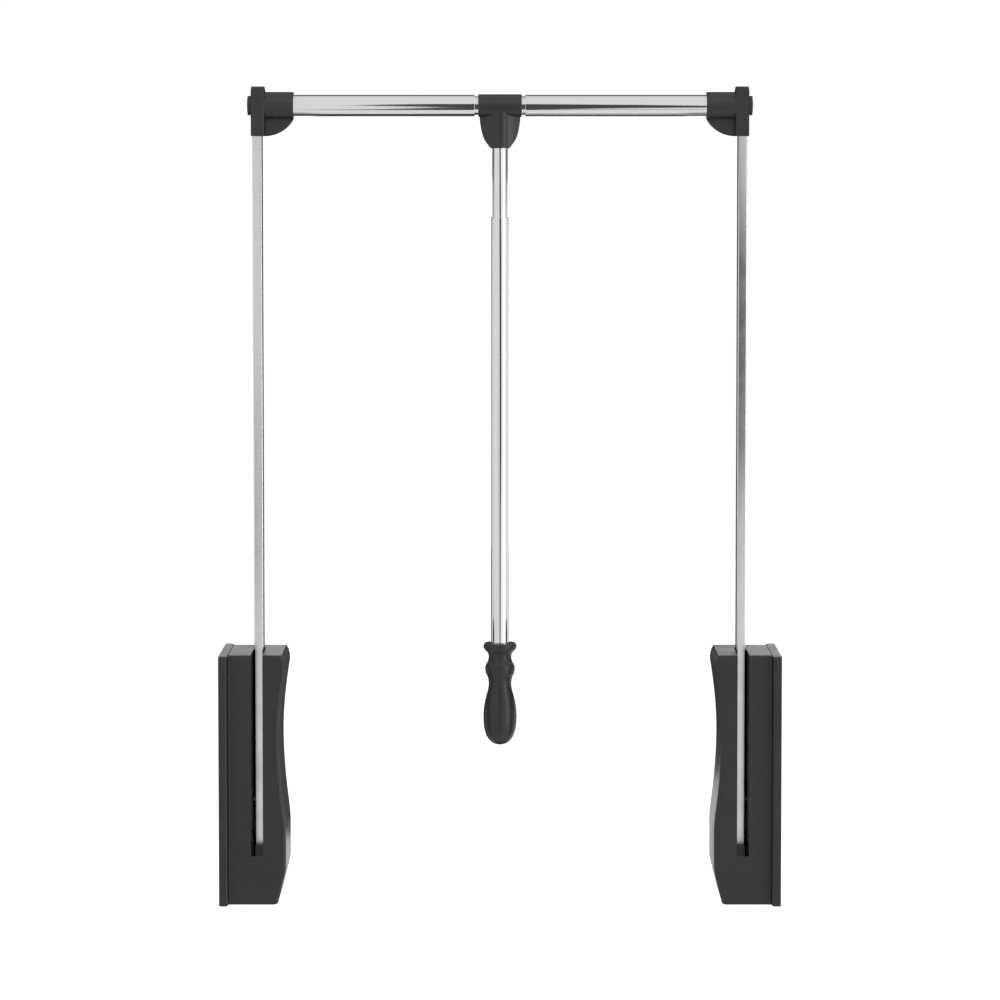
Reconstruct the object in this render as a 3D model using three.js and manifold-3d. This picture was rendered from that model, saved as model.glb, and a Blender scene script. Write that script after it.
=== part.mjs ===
// A pull-down closet rod: two wall housings, a sprung arm in each, a telescopic hanging rod between the
// arms, and a pull rod with a handle that hangs from the middle of the hanging rod.
// Millimetres, +Z up. The origin is the middle of the left plate's wall face. +X runs to the right housing,
// and the user stands on the -Y side.

import * as THREE from "three";
import { mergeVertices } from "three/addons/utils/BufferGeometryUtils.js";
import Module from "manifold-3d";

const wasm = await Module();
wasm.setup();

// Whole fitting
const closedWidth = 576; // wall face to wall face with the hanging rod closed up
const rodAxisHeight = 820; // hanging rod's axis above the foot of the plates
const clearance = 0.3; // gap between pieces that fit together
const overrun = 1; // how far a cutting shape runs past the face it cuts

// Base plate, one on each wall
const plateThickness = 9;
const plateHeight = 258;
const plateMargin = 12; // plate in front of the housing, and as much behind it
const plateCorner = 4;
const plateEdge = 1.2; // rounding of the edge on the housing's side
const wallHoleRadius = 2.3;
const wallSinkRadius = 4.4; // countersink for a wall screw's head
const wallSinkDepth = 2.6;
const wallHoleInset = 24; // hole to the plate's top or foot

// Housing shell
const housingDepth = 101;
const housingWall = 2.8;
const housingEdge = 2.8; // rounding of the front and rear edges
const bulgeReach = 68.3; // wall face to the shell at its two bulges
const waistReach = 61.3; // wall face to the shell at its waist
const footReach = 59.5;
const crownReach = 65.3;
const footRadius = 3.5;
const kneeRun = 3; // rounding where the tapered foot meets the belly
const bellyFootHeight = 36;
const bellyTopHeight = 76;
const waistDrop = 88; // top of the plates to the waist
const crownDrop = 13; // top of the plates to the upper bulge
const bellyPullShare = 0.15;
const waistPullShare = 0.5;
const crownPullShare = 0.05;
const crownShare = 0.54; // height of the crown's control point, between the bulge and the top

// Slot that the arm stands in
const slotSideGap = 1.35; // arm to the slot on either side
const slotRearGap = 0.5; // arm to the slot's rear end
const slotSillDrop = 23; // pivot to the slot's lower end
const cheekThickness = 2; // wall between the slot and the spring's chamber

// Swing arm: a flat oval steel tube
const armThickness = 9.5;
const armDepth = 25;
const armWall = 1.5;
const armCorner = 1.2;
const armInnerCorner = 0.5;
const armOffset = 38.5; // wall face to the middle of the arm
const armSetback = 9; // arm's middle behind the plate's middle
const armSwing = 95; // degrees, upright to fully down
const armTail = 18.3; // steel below the pivot
const armTopRise = 16; // steel above the hanging rod's axis

// Pivot
const pivotHeight = 73.5; // above the foot of the plates
const axleRadius = 5;
const axleSeatDepth = 0.5; // axle's end in the plate
const axleCover = 7.8; // axle's other end to the shell's outside
const axleBossRadius = 10;
const bushSleeve = 1.7; // wall of the bush
const bushFlangeRadius = 9.5;

// Arm shoe
const shoeDrop = 31.5; // pivot to the end of the shoe
const shoePlugRun = 9;
const shoeWall = 2;

// Lift spring and its two pins
const springPinRise = 28; // spring pin above the pivot
const springPinRadius = 3;
const springPinNeck = 2.5; // radius under the spring's hook
const springPinTail = 9; // spring's axis to the pin's end
const anchorDrop = 18; // top of the plates to the anchor pin
const anchorRearGap = 17.5; // anchor pin to the shell's rear face
const anchorPlateRun = 4; // depth of the anchor pin's seat in the plate
const springGap = 0.45; // spring to the cheek
const wireRadius = 1.25;
const coilRadius = 7.2; // axis of the wire
const springCurls = 14;
const hookLeadRise = 11; // hook to the first curl

// Stop pad behind the arm
const stopDrop = 53; // top of the plates to the pad's middle
const stopLength = 18;
const stopPadThickness = 6;
const stopWidth = 10;

// Housing screws
const screwRadius = 1.7;
const screwHeadRadius = 3.6;
const screwHeadDepth = 2.4;
const screwLength = 17;
const screwBossRadius = 4.2;
const screwBossRun = 10;
const screwInset = 6.6; // screw to the shell's outer faces

// Corner connector between arm and hanging rod
const cornerOuterWall = 1.55; // wall between the arm and the side of the cabinet
const cornerRoomWall = 2.85; // wall between the arm and the hanging rod
const cornerSideWall = 2; // wall in front of the arm, and as much behind it
const cornerRise = 19.5; // above the hanging rod's axis
const cornerDrop = 31.4; // below the hanging rod's axis
const cornerEdge = 1.2;
const cornerBevelWidth = 1.2;
const cornerBevelHeight = 4.6;
const socketWall = 3; // socket's outside to the outer tube
const socketRun = 29.6; // beyond the connector's upright part
const socketFloor = 2.4;
const socketEdge = 0.8;
const webThickness = 7;

// Connector cap and bolt
const capRadius = 10;
const capProud = 4.1;
const capEdge = 0.9;
const boltRadius = 3;
const boltHeadRadius = 6;
const boltHeadDepth = 2.2;
const boltPlugRun = 14; // bolt inside the tube plug
const plugLength = 20;

// Hanging rod
const outerTubeRadius = 11;
const outerTubeWall = 1.2;
const teeGap = 3.6; // outer tube's end to the tee's sleeve, closed up
const centreTubeWall = 1.2;
const closedSlack = 18.9; // tube plug to the centre tube's glide, closed up
const tubeEdge = 0.4; // broken edge at a tube's end
const glideHead = 3;
const glideShank = 12;
const grooveDepth = 0.6;
const grooveWidth = 3.6;

// Tee connector
const teeWall = 1.85;
const teeLength = 44.8;
const teeEdge = 0.8;
const teeNeckWall = 2.5;
const teeDrop = 42.6; // rod axis to the lower end of the cup
const teeLip = 1.2;
const teeLipInset = 0.6;
const teeSeat = 15; // rod axis to the end of the pull rod's seat
const swivelScrewRadius = 1.5;
const swivelScrewRecess = 0.5;
const lockScrewRadius = 2;
const lockScrewDrop = 30; // below the hanging rod's axis
const lockScrewReach = 1.2; // how far the screw's tip stands in the pull tube's bore
// How far down the cup each section is, and how much of its width beyond the neck is left there.
const cupShares = [
  [0.0, 1.0], [0.32, 0.92], [0.5, 0.82], [0.65, 0.7], [0.78, 0.57], [0.87, 0.43], [0.94, 0.26], [1.0, 0.03],
];

// Pull rod
const upperPullRadius = 8;
const upperPullWall = 1;
const lowerPullGap = 0.6; // between the two tubes
const lowerPullWall = 0.9;
const lowerPullTop = 114.9; // hanging rod's axis to the tube's upper end
const lowerPullSeat = 34.4; // tube inside the handle
const pullSlack = 110; // end of the upper tube to the end of the lower one

// Handle
const handleTop = 555.6; // below the hanging rod's axis
const handleLength = 106.6;
const handleRadius = 17.25;
// Places down the handle and radii there, both as parts of the handle's own length and radius.
const handleShares = [
  [0.0, 0.93], [0.015, 0.985], [0.045, 0.99], [0.07, 0.89], [0.1, 0.73], [0.135, 0.682],
  [0.175, 0.73], [0.21, 0.85], [0.25, 0.897], [0.295, 0.85], [0.335, 0.74], [0.39, 0.684],
  [0.45, 0.715], [0.52, 0.835], [0.6, 0.94], [0.69, 0.998], [0.78, 0.985], [0.85, 0.93],
  [0.91, 0.81], [0.955, 0.62], [0.985, 0.37], [1.0, 0.0],
];

// Facets
const tubeSides = 24;
const smallSides = 12;
const screwSides = 8;
const cupSides = 20;
const handleSides = 20;
const wireSides = 5;
const stepsPerCurl = 8;
const hookSteps = 8;
const leadSteps = 4;
const outlineSteps = 5;
const cornerSteps = 1;
const edgeSteps = 2;
const hookAngle = (4 / 3) * Math.PI; // how far the hook goes round its pin
const weldDistance = 0.001;

// Sizes that follow from the ones above
const plateDepth = housingDepth + 2 * plateMargin;
const waistHeight = plateHeight - waistDrop; // heights above the foot of the plates
const crownHeight = plateHeight - crownDrop;
const anchorHeight = plateHeight - anchorDrop;
const anchorSetback = housingDepth / 2 - anchorRearGap;
const stopHeight = plateHeight - stopDrop;
const slotSillHeight = pivotHeight - slotSillDrop;
const shellSeat = plateThickness + clearance;
const armFaceOut = armOffset - armThickness / 2;
const armRear = armSetback + armDepth / 2;
const slotFaceOut = armFaceOut - slotSideGap; // slot's side towards the wall
const slotFaceIn = armOffset + armThickness / 2 + slotSideGap; // slot's side towards the room
const cheekFace = slotFaceOut - cheekThickness; // cheek's side towards the wall
const axleStart = plateThickness - axleSeatDepth;
const axleEnd = bulgeReach - axleCover;
const springAxis = cheekFace - springGap - wireRadius - coilRadius; // wall face to the spring's axis
const cornerWidth = cornerOuterWall + armThickness + cornerRoomWall;
const cornerDepth = armDepth + 2 * cornerSideWall;
const cornerFaceOut = armFaceOut - cornerOuterWall;
const cornerFaceIn = cornerFaceOut + cornerWidth;
const socketRadius = outerTubeRadius + socketWall;
const socketEnd = cornerFaceIn + socketRun;
const outerTubeStart = cornerFaceIn + socketFloor + clearance;
const outerTubeBore = outerTubeRadius - outerTubeWall;
const outerTubeLength = closedWidth / 2 - teeLength / 2 - teeGap - outerTubeStart;
const centreTubeRadius = outerTubeBore - clearance;
const centreTubeBore = centreTubeRadius - centreTubeWall;
const centreTubeStart = outerTubeStart + plugLength + closedSlack + glideHead + clearance;
const centreTubeLength = closedWidth - 2 * centreTubeStart;
const teeRadius = centreTubeRadius + clearance + teeWall;
const teeNeckRadius = upperPullRadius + clearance + teeNeckWall;
const upperPullBore = upperPullRadius - upperPullWall;
const upperPullEnd = handleTop + lowerPullSeat - pullSlack;
const lowerPullBore = upperPullRadius + lowerPullGap;
const lowerPullRadius = lowerPullBore + lowerPullWall;
const lockScrewTip = upperPullBore - lockScrewReach; // pull rod's axis to the screw's tip
const rodLift = rodAxisHeight - pivotHeight; // hanging rod's axis above the pivot

// Finishes
const blackPlastic = { color: 0x3b3b3c, roughness: 0.5, metalness: 0 };
const greyNylon = { color: 0xb9b8b2, roughness: 0.6, metalness: 0 };
const chromedSteel = { color: 0xd2d3d4, roughness: 0.12, metalness: 1 };
const springSteel = { color: 0x8d8f92, roughness: 0.35, metalness: 1 };
const zincSteel = { color: 0xb4b6b8, roughness: 0.4, metalness: 1 };
const blackRubber = { color: 0x1f1f20, roughness: 0.9, metalness: 0 };

// A closed geometry as a solid that can be joined and cut.
function solidOf(geometry) {
  const bare = geometry.index ? geometry.toNonIndexed() : geometry.clone();
  bare.deleteAttribute("normal");
  bare.deleteAttribute("uv");
  const merged = mergeVertices(bare, weldDistance);
  const corners = merged.index.array;
  const triVerts = [];
  for (let i = 0; i < corners.length; i += 3) {
    const [a, b, c] = [corners[i], corners[i + 1], corners[i + 2]];
    if (a !== b && b !== c && c !== a) triVerts.push(a, b, c);
  }
  return new wasm.Manifold(
    new wasm.Mesh({
      numProp: 3,
      vertProperties: merged.attributes.position.array,
      triVerts: new Uint32Array(triVerts),
    }),
  );
}

// The first shape with the ones in `added` joined to it and the ones in `cuts` taken away.
function fuse(first, added, cuts) {
  let solid = solidOf(first);
  for (const geometry of added) solid = solid.add(solidOf(geometry));
  for (const geometry of cuts) solid = solid.subtract(solidOf(geometry));
  return solid;
}

function geometryOf(solid) {
  const mesh = solid.getMesh();
  const geometry = new THREE.BufferGeometry();
  geometry.setAttribute("position", new THREE.BufferAttribute(mesh.vertProperties, 3));
  geometry.setIndex(new THREE.BufferAttribute(mesh.triVerts, 1));
  geometry.computeVertexNormals();
  return geometry;
}

// Adds one named piece, in its own finish, to the group that carries it.
function piece(parent, name, solid, finish, position = [0, 0, 0]) {
  const mesh = new THREE.Mesh(geometryOf(solid), new THREE.MeshStandardMaterial(finish));
  mesh.name = name;
  mesh.position.set(...position);
  parent.add(mesh);
  return mesh;
}

function block(low, high) {
  const size = high.map((value, i) => value - low[i]);
  const middle = high.map((value, i) => (value + low[i]) / 2);
  return new THREE.BoxGeometry(...size).translate(...middle);
}

// An outline of [radius, height] points turned round +Z. The outside is listed from the foot up.
function turned(outline, sides) {
  const profile = outline.map(([radius, height]) => new THREE.Vector2(radius, height));
  return new THREE.LatheGeometry(profile, sides).rotateX(Math.PI / 2);
}

// A tube on z = 0, with the outer edge of both ends broken.
function tube(outer, inner, length, edge, sides) {
  const outline = [
    [inner, 0], [outer - edge, 0], [outer, edge], [outer, length - edge],
    [outer - edge, length], [inner, length], [inner, 0],
  ];
  return turned(outline, sides);
}

function bar(radius, length, edge, sides) {
  const outline = [
    [0, 0], [radius - edge, 0], [radius, edge], [radius, length - edge], [radius - edge, length],
    [0, length],
  ];
  return turned(outline, sides);
}

function plainBar(radius, length, sides) {
  return turned([[0, 0], [radius, 0], [radius, length], [0, length]], sides);
}

// Turn what stands along +Z to run along +X or +Y.
const alongX = (geometry) => geometry.rotateY(Math.PI / 2);
const alongY = (geometry) => geometry.rotateX(-Math.PI / 2);

// A shape drawn in X and Z, as thick as depth across Y and centred on y = 0.
function fromFront(shape, depth, edge = 0) {
  const settings = {
    depth: depth - 2 * edge,
    curveSegments: outlineSteps,
    bevelEnabled: edge > 0,
    bevelThickness: edge,
    bevelSize: edge,
    bevelOffset: -edge,
    bevelSegments: edgeSteps,
  };
  const geometry = new THREE.ExtrudeGeometry(shape, settings);
  return geometry.rotateX(Math.PI / 2).translate(0, depth / 2 - edge, 0);
}

// Turns a shape drawn in X and Y to lie in Y and Z, with its thickness along +X.
function drawnInDepth() {
  return new THREE.Matrix4().makeBasis(
    new THREE.Vector3(0, 1, 0),
    new THREE.Vector3(0, 0, 1),
    new THREE.Vector3(1, 0, 0),
  );
}

function roundedRectangle(width, height, radius) {
  const x = width / 2 - radius;
  const y = height / 2 - radius;
  const shape = new THREE.Shape();
  shape.absarc(x, y, radius, 0, Math.PI / 2);
  shape.absarc(-x, y, radius, Math.PI / 2, Math.PI);
  shape.absarc(-x, -y, radius, Math.PI, 1.5 * Math.PI);
  shape.absarc(x, -y, radius, 1.5 * Math.PI, 2 * Math.PI);
  return shape;
}

// A bar of the arm's kind of section, from one height to another.
function flatBar(thickness, depth, corner, from, to) {
  const shape = roundedRectangle(thickness, depth, corner);
  const settings = { depth: to - from, curveSegments: cornerSteps, bevelEnabled: false };
  return new THREE.ExtrudeGeometry(shape, settings).translate(0, 0, from);
}

// A closed skin over rings of as many points each, which run anticlockwise seen from the last ring.
function skin(rings) {
  const count = rings[0].length;
  const positions = rings.flat().flatMap((point) => [point.x, point.y, point.z]);
  const index = [];
  for (let r = 0; r + 1 < rings.length; r += 1) {
    for (let i = 0; i < count; i += 1) {
      const a = r * count + i;
      const b = r * count + ((i + 1) % count);
      index.push(a, b, a + count, b, b + count, a + count);
    }
  }
  const last = (rings.length - 1) * count;
  for (let i = 1; i + 1 < count; i += 1) {
    index.push(0, i + 1, i);
    index.push(last, last + i, last + i + 1);
  }
  const geometry = new THREE.BufferGeometry();
  geometry.setAttribute("position", new THREE.Float32BufferAttribute(positions, 3));
  geometry.setIndex(index);
  return geometry;
}

// Base plate: a moulded slab that screws to the cabinet side through its two margins.
// A boss on its face holds one end of the axle, and a seat above it one end of the anchor pin.
function basePlate() {
  const shape = roundedRectangle(plateDepth, plateHeight, plateCorner);
  const settings = {
    depth: plateThickness,
    curveSegments: cornerSteps,
    bevelThickness: plateEdge,
    bevelSize: plateEdge,
    bevelOffset: -plateEdge,
    bevelSegments: edgeSteps,
  };
  const slab = new THREE.ExtrudeGeometry(shape, settings).applyMatrix4(drawnInDepth());
  slab.translate(-plateEdge, 0, plateHeight / 2);

  const bossRun = cheekFace - clearance - plateThickness / 2;
  const boss = alongX(plainBar(axleBossRadius, bossRun, tubeSides));
  boss.translate(plateThickness / 2, armSetback, pivotHeight);

  const cuts = [];
  cuts.push(block([-2 * plateEdge, -plateDepth, -overrun], [0, plateDepth, plateHeight + overrun]));
  const axleSeat = axleStart - clearance;
  const axleHole = alongX(plainBar(axleRadius + clearance, slotFaceOut + overrun - axleSeat, smallSides));
  cuts.push(axleHole.translate(axleSeat, armSetback, pivotHeight));
  const anchorHole = alongX(plainBar(springPinRadius + clearance, anchorPlateRun + overrun, smallSides));
  cuts.push(anchorHole.translate(plateThickness - anchorPlateRun, anchorSetback, anchorHeight));
  for (const [y, z] of wallHolePlaces()) {
    const outline = [
      [0, -overrun], [wallHoleRadius, -overrun], [wallHoleRadius, plateThickness - wallSinkDepth],
      [wallSinkRadius, plateThickness], [wallSinkRadius, plateThickness + overrun],
      [0, plateThickness + overrun],
    ];
    cuts.push(alongX(turned(outline, smallSides)).translate(0, y, z));
  }
  for (const [y, z] of screwPlaces()) {
    const outline = [
      [0, -overrun], [screwHeadRadius + clearance, -overrun], [screwHeadRadius + clearance, 0],
      [screwRadius + clearance, screwHeadDepth], [screwRadius + clearance, plateThickness + overrun],
      [0, plateThickness + overrun],
    ];
    cuts.push(alongX(turned(outline, screwSides)).translate(0, y, z));
  }
  return fuse(slab, [boss], cuts);
}

function wallHolePlaces() {
  const y = (plateDepth - plateMargin) / 2;
  const heights = [wallHoleInset, plateHeight - wallHoleInset];
  return heights.flatMap((z) => [[-y, z], [y, z]]);
}

function screwPlaces() {
  const y = housingDepth / 2 - screwInset;
  const heights = [screwInset, plateHeight - screwInset];
  return heights.flatMap((z) => [[-y, z], [y, z]]);
}

// The shell's outline seen from the front, drawn in by `inset` on every side but the wall's.
function housingOutline(inset) {
  const foot = inset;
  const top = plateHeight - inset;
  const bulge = bulgeReach - inset;
  const waist = waistReach - inset;
  const toe = footReach - inset;
  const taper = (bulgeReach - footReach) / bellyFootHeight;
  const outline = new THREE.Shape();
  outline.moveTo(0, foot);
  outline.lineTo(toe - footRadius, foot);
  outline.quadraticCurveTo(toe, foot, toe + taper * footRadius, foot + footRadius);
  outline.lineTo(bulge - taper * kneeRun, bellyFootHeight - kneeRun);
  outline.quadraticCurveTo(bulge, bellyFootHeight, bulge, bellyFootHeight + kneeRun);
  outline.lineTo(bulge, bellyTopHeight);
  const lowerRise = waistHeight - bellyTopHeight;
  const upperRise = crownHeight - waistHeight;
  outline.bezierCurveTo(
    bulge, bellyTopHeight + bellyPullShare * lowerRise,
    waist, waistHeight - waistPullShare * lowerRise,
    waist, waistHeight,
  );
  outline.bezierCurveTo(
    waist, waistHeight + waistPullShare * upperRise,
    bulge, crownHeight - crownPullShare * upperRise,
    bulge, crownHeight,
  );
  outline.quadraticCurveTo(bulge, crownHeight + crownShare * (top - crownHeight), crownReach - inset, top);
  outline.lineTo(0, top);
  outline.closePath();
  return outline;
}

// Housing shell: one deep moulding, open towards the wall, with a slot down its front and across its top.
// A cheek beside the slot screens the spring's chamber and lets the spring pin through a curved track.
// The shell also has the other boss of the axle, the rib behind the stop pad, and four short screw bosses.
function housingShell() {
  const body = fromFront(housingOutline(0), housingDepth, housingEdge);
  const hollow = fromFront(housingOutline(housingWall), housingDepth - 2 * housingWall);

  const axleBoss = alongX(plainBar(axleBossRadius, bulgeReach - housingWall / 2 - slotFaceIn, tubeSides));
  axleBoss.translate(slotFaceIn, armSetback, pivotHeight);
  const wallSlack = housingDepth / 2 - housingWall / 2;
  const cheek = block(
    [cheekFace, -wallSlack, housingWall / 2],
    [slotFaceOut, wallSlack, plateHeight - housingWall / 2],
  );
  const padRear = armRear + 2 * clearance + stopPadThickness;
  const stopRib = block(
    [armOffset - stopWidth / 2, padRear, stopHeight - stopLength / 2],
    [armOffset + stopWidth / 2, (housingDepth - housingWall) / 2, stopHeight + stopLength / 2],
  );
  const ribs = [cheek, axleBoss, stopRib];
  for (const [y, z] of screwPlaces()) {
    ribs.push(alongX(plainBar(screwBossRadius, screwBossRun, smallSides)).translate(shellSeat, y, z));
  }

  const front = -housingDepth / 2;
  const cuts = [];
  cuts.push(
    block(
      [slotFaceOut, front - overrun, slotSillHeight],
      [slotFaceIn, armRear + slotRearGap, plateHeight + overrun],
    ),
  );
  cuts.push(block([-overrun, -housingDepth, -overrun], [shellSeat, housingDepth, plateHeight + overrun]));
  const axleSeat = axleEnd + clearance;
  const axleHole = alongX(plainBar(axleRadius + clearance, axleSeat - cheekFace + overrun, smallSides));
  cuts.push(axleHole.translate(cheekFace - overrun, armSetback, pivotHeight));
  const throughCheek = cheekThickness + 2 * overrun;
  const anchorHole = alongX(plainBar(springPinRadius + clearance, throughCheek, smallSides));
  cuts.push(anchorHole.translate(cheekFace - overrun, anchorSetback, anchorHeight));
  cuts.push(pinTrack());
  for (const [y, z] of screwPlaces()) {
    const reach = screwLength + 2 * clearance - shellSeat;
    const hole = alongX(plainBar(screwRadius + clearance, reach + overrun, screwSides));
    cuts.push(hole.translate(shellSeat - overrun, y, z));
  }

  let solid = solidOf(body).subtract(solidOf(hollow));
  for (const rib of ribs) solid = solid.add(solidOf(rib));
  for (const cut of cuts) solid = solid.subtract(solidOf(cut));
  return solid;
}

// The curved track that the spring pin follows through the cheek, from upright to fully down.
function pinTrack() {
  const halfWidth = springPinRadius + clearance;
  const upright = Math.PI / 2;
  const down = upright + THREE.MathUtils.degToRad(armSwing);
  const shape = new THREE.Shape();
  const [lowY, lowZ] = [springPinRise * Math.cos(down), springPinRise * Math.sin(down)];
  shape.absarc(0, 0, springPinRise + halfWidth, upright, down, false);
  shape.absarc(lowY, lowZ, halfWidth, down, down + Math.PI, false);
  shape.absarc(0, 0, springPinRise - halfWidth, down, upright, true);
  shape.absarc(0, springPinRise, halfWidth, -upright, upright, false);
  const settings = {
    depth: cheekThickness + 2 * overrun,
    curveSegments: outlineSteps,
    bevelEnabled: false,
  };
  const track = new THREE.ExtrudeGeometry(shape, settings).applyMatrix4(drawnInDepth());
  return track.translate(cheekFace - overrun, armSetback, pivotHeight);
}

function housingScrew() {
  const outline = [
    [0, clearance], [screwHeadRadius - clearance, clearance], [screwRadius, screwHeadDepth + clearance],
    [screwRadius, screwLength - screwRadius], [0, screwLength],
  ];
  return solidOf(alongX(turned(outline, screwSides)));
}

// A pin along +X from x = 0, with a neck at the given distance for the spring's hook.
function neckedPin(length, neckAt) {
  const halfNeck = wireRadius + clearance;
  const outline = [
    [0, 0], [springPinRadius - tubeEdge, 0], [springPinRadius, tubeEdge],
    [springPinRadius, neckAt - halfNeck], [springPinNeck, neckAt - halfNeck],
    [springPinNeck, neckAt + halfNeck], [springPinRadius, neckAt + halfNeck],
    [springPinRadius, length - tubeEdge], [springPinRadius - tubeEdge, length], [0, length],
  ];
  return alongX(turned(outline, smallSides));
}

// The wire's centre line, from the lower pin at the origin up +Z to the upper pin. X runs along both pins.
// A hook goes round the lower pin, leads into the first curl, and the same shape turned over ends the wire.
function springLine(length) {
  const hookRadius = springPinNeck + clearance + wireRadius;
  const onCoil = (radius, angle, z) =>
    new THREE.Vector3(radius * Math.sin(angle), radius * Math.cos(angle), z);
  const start = [];
  for (let i = 0; i < hookSteps; i += 1) {
    const angle = Math.PI / 2 - hookAngle * (1 - i / hookSteps);
    start.push(new THREE.Vector3(0, hookRadius * Math.sin(angle), -hookRadius * Math.cos(angle)));
  }
  const leadAngle = (2 * Math.PI) / stepsPerCurl;
  for (let i = 0; i <= leadSteps; i += 1) {
    const along = i / leadSteps;
    const radius = THREE.MathUtils.lerp(hookRadius, coilRadius, along);
    start.push(onCoil(radius, leadAngle * along * along, hookLeadRise * (2 * along - along * along)));
  }
  const end = start.map((point) => new THREE.Vector3(point.x, -point.y, length - point.z)).reverse();
  const firstAngle = leadAngle;
  const lastAngle = 2 * Math.PI * springCurls + Math.PI - leadAngle;
  const steps = Math.round(((lastAngle - firstAngle) / (2 * Math.PI)) * stepsPerCurl);
  const coils = [];
  for (let i = 1; i < steps; i += 1) {
    const along = i / steps;
    const angle = THREE.MathUtils.lerp(firstAngle, lastAngle, along);
    coils.push(onCoil(coilRadius, angle, THREE.MathUtils.lerp(hookLeadRise, length - hookLeadRise, along)));
  }
  return [...start, ...coils, ...end];
}

// One unbroken tube of wire along a line of points.
function wireAlong(line) {
  const rings = [];
  let across = new THREE.Vector3(1, 0, 0);
  line.forEach((point, i) => {
    const before = line[Math.max(i - 1, 0)];
    const after = line[Math.min(i + 1, line.length - 1)];
    const heading = after.clone().sub(before).normalize();
    across = across.clone().addScaledVector(heading, -across.dot(heading)).normalize();
    const side = heading.clone().cross(across);
    const ring = [];
    for (let k = 0; k < wireSides; k += 1) {
      const angle = (2 * Math.PI * k) / wireSides;
      const reach = across.clone().multiplyScalar(wireRadius * Math.cos(angle));
      ring.push(point.clone().add(reach).addScaledVector(side, wireRadius * Math.sin(angle)));
    }
    rings.push(ring);
  });
  return skin(rings);
}

// The least gap between parts of the wire that lie more than half a curl apart.
function leastGap(line) {
  let least = Infinity;
  line.forEach((point, i) => {
    const others = line.slice(i + stepsPerCurl / 2 + 1);
    for (const other of others) least = Math.min(least, point.distanceTo(other));
  });
  return least - 2 * wireRadius;
}

// Lift spring: an extension spring from the pin in the arm to the anchor pin above and behind it.
function liftSpring(name) {
  const lower = new THREE.Vector3(springAxis, armSetback, pivotHeight + springPinRise);
  const upper = new THREE.Vector3(springAxis, anchorSetback, anchorHeight);
  const run = upper.clone().sub(lower);
  const line = springLine(run.length());
  console.log(name + " keeps " + leastGap(line).toFixed(2) + " mm from itself");
  const lean = new THREE.Quaternion().setFromUnitVectors(new THREE.Vector3(0, 0, 1), run.normalize());
  const geometry = wireAlong(line).applyQuaternion(lean);
  return { solid: solidOf(geometry), place: lower.toArray() };
}

// Swing arm, measured from the pivot: holes for the bush, the spring pin and the connector bolt.
function swingArm() {
  const top = rodLift + armTopRise;
  const bar = flatBar(armThickness, armDepth, armCorner, -armTail, top);
  const bore = flatBar(
    armThickness - 2 * armWall, armDepth - 2 * armWall, armInnerCorner, -armTail - overrun, top + overrun,
  );
  const across = (radius, height) => {
    const hole = alongX(plainBar(radius, armThickness + 2 * overrun, smallSides));
    return hole.translate(-armThickness / 2 - overrun, 0, height);
  };
  const bushHole = across(axleRadius + bushSleeve + 2 * clearance, 0);
  const pinHole = across(springPinRadius + clearance, springPinRise);
  const boltHole = across(boltRadius + clearance, rodLift);
  return fuse(bar, [], [bore, bushHole, pinHole, boltHole]);
}

// Arm shoe: a plastic plug that closes the lower end of the arm.
function armShoe() {
  const seat = -armTail - clearance;
  const foot = flatBar(armThickness, armDepth, armCorner, -shoeDrop, seat);
  const slack = 2 * (armWall + clearance);
  const plugThickness = armThickness - slack;
  const plugDepth = armDepth - slack;
  const plugTop = seat + shoePlugRun;
  const plug = flatBar(plugThickness, plugDepth, armInnerCorner, seat - overrun, plugTop);
  const hollow = flatBar(
    plugThickness - shoeWall, plugDepth - 2 * shoeWall, armInnerCorner, -armTail, plugTop + overrun,
  );
  return fuse(foot, [plug], [hollow]);
}

// Half of the arm's bearing: a flanged bush pushed in from one side. Its flange keeps the arm off the boss.
function armBush() {
  const bore = axleRadius + clearance;
  const sleeve = bore + bushSleeve;
  const flangeFace = armThickness / 2 + slotSideGap - clearance;
  const flangeRoot = armThickness / 2 + clearance;
  const outline = [
    [bore, clearance / 2], [sleeve, clearance / 2], [sleeve, flangeRoot], [bushFlangeRadius, flangeRoot],
    [bushFlangeRadius, flangeFace], [bore, flangeFace], [bore, clearance / 2],
  ];
  return turned(outline, smallSides);
}

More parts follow.
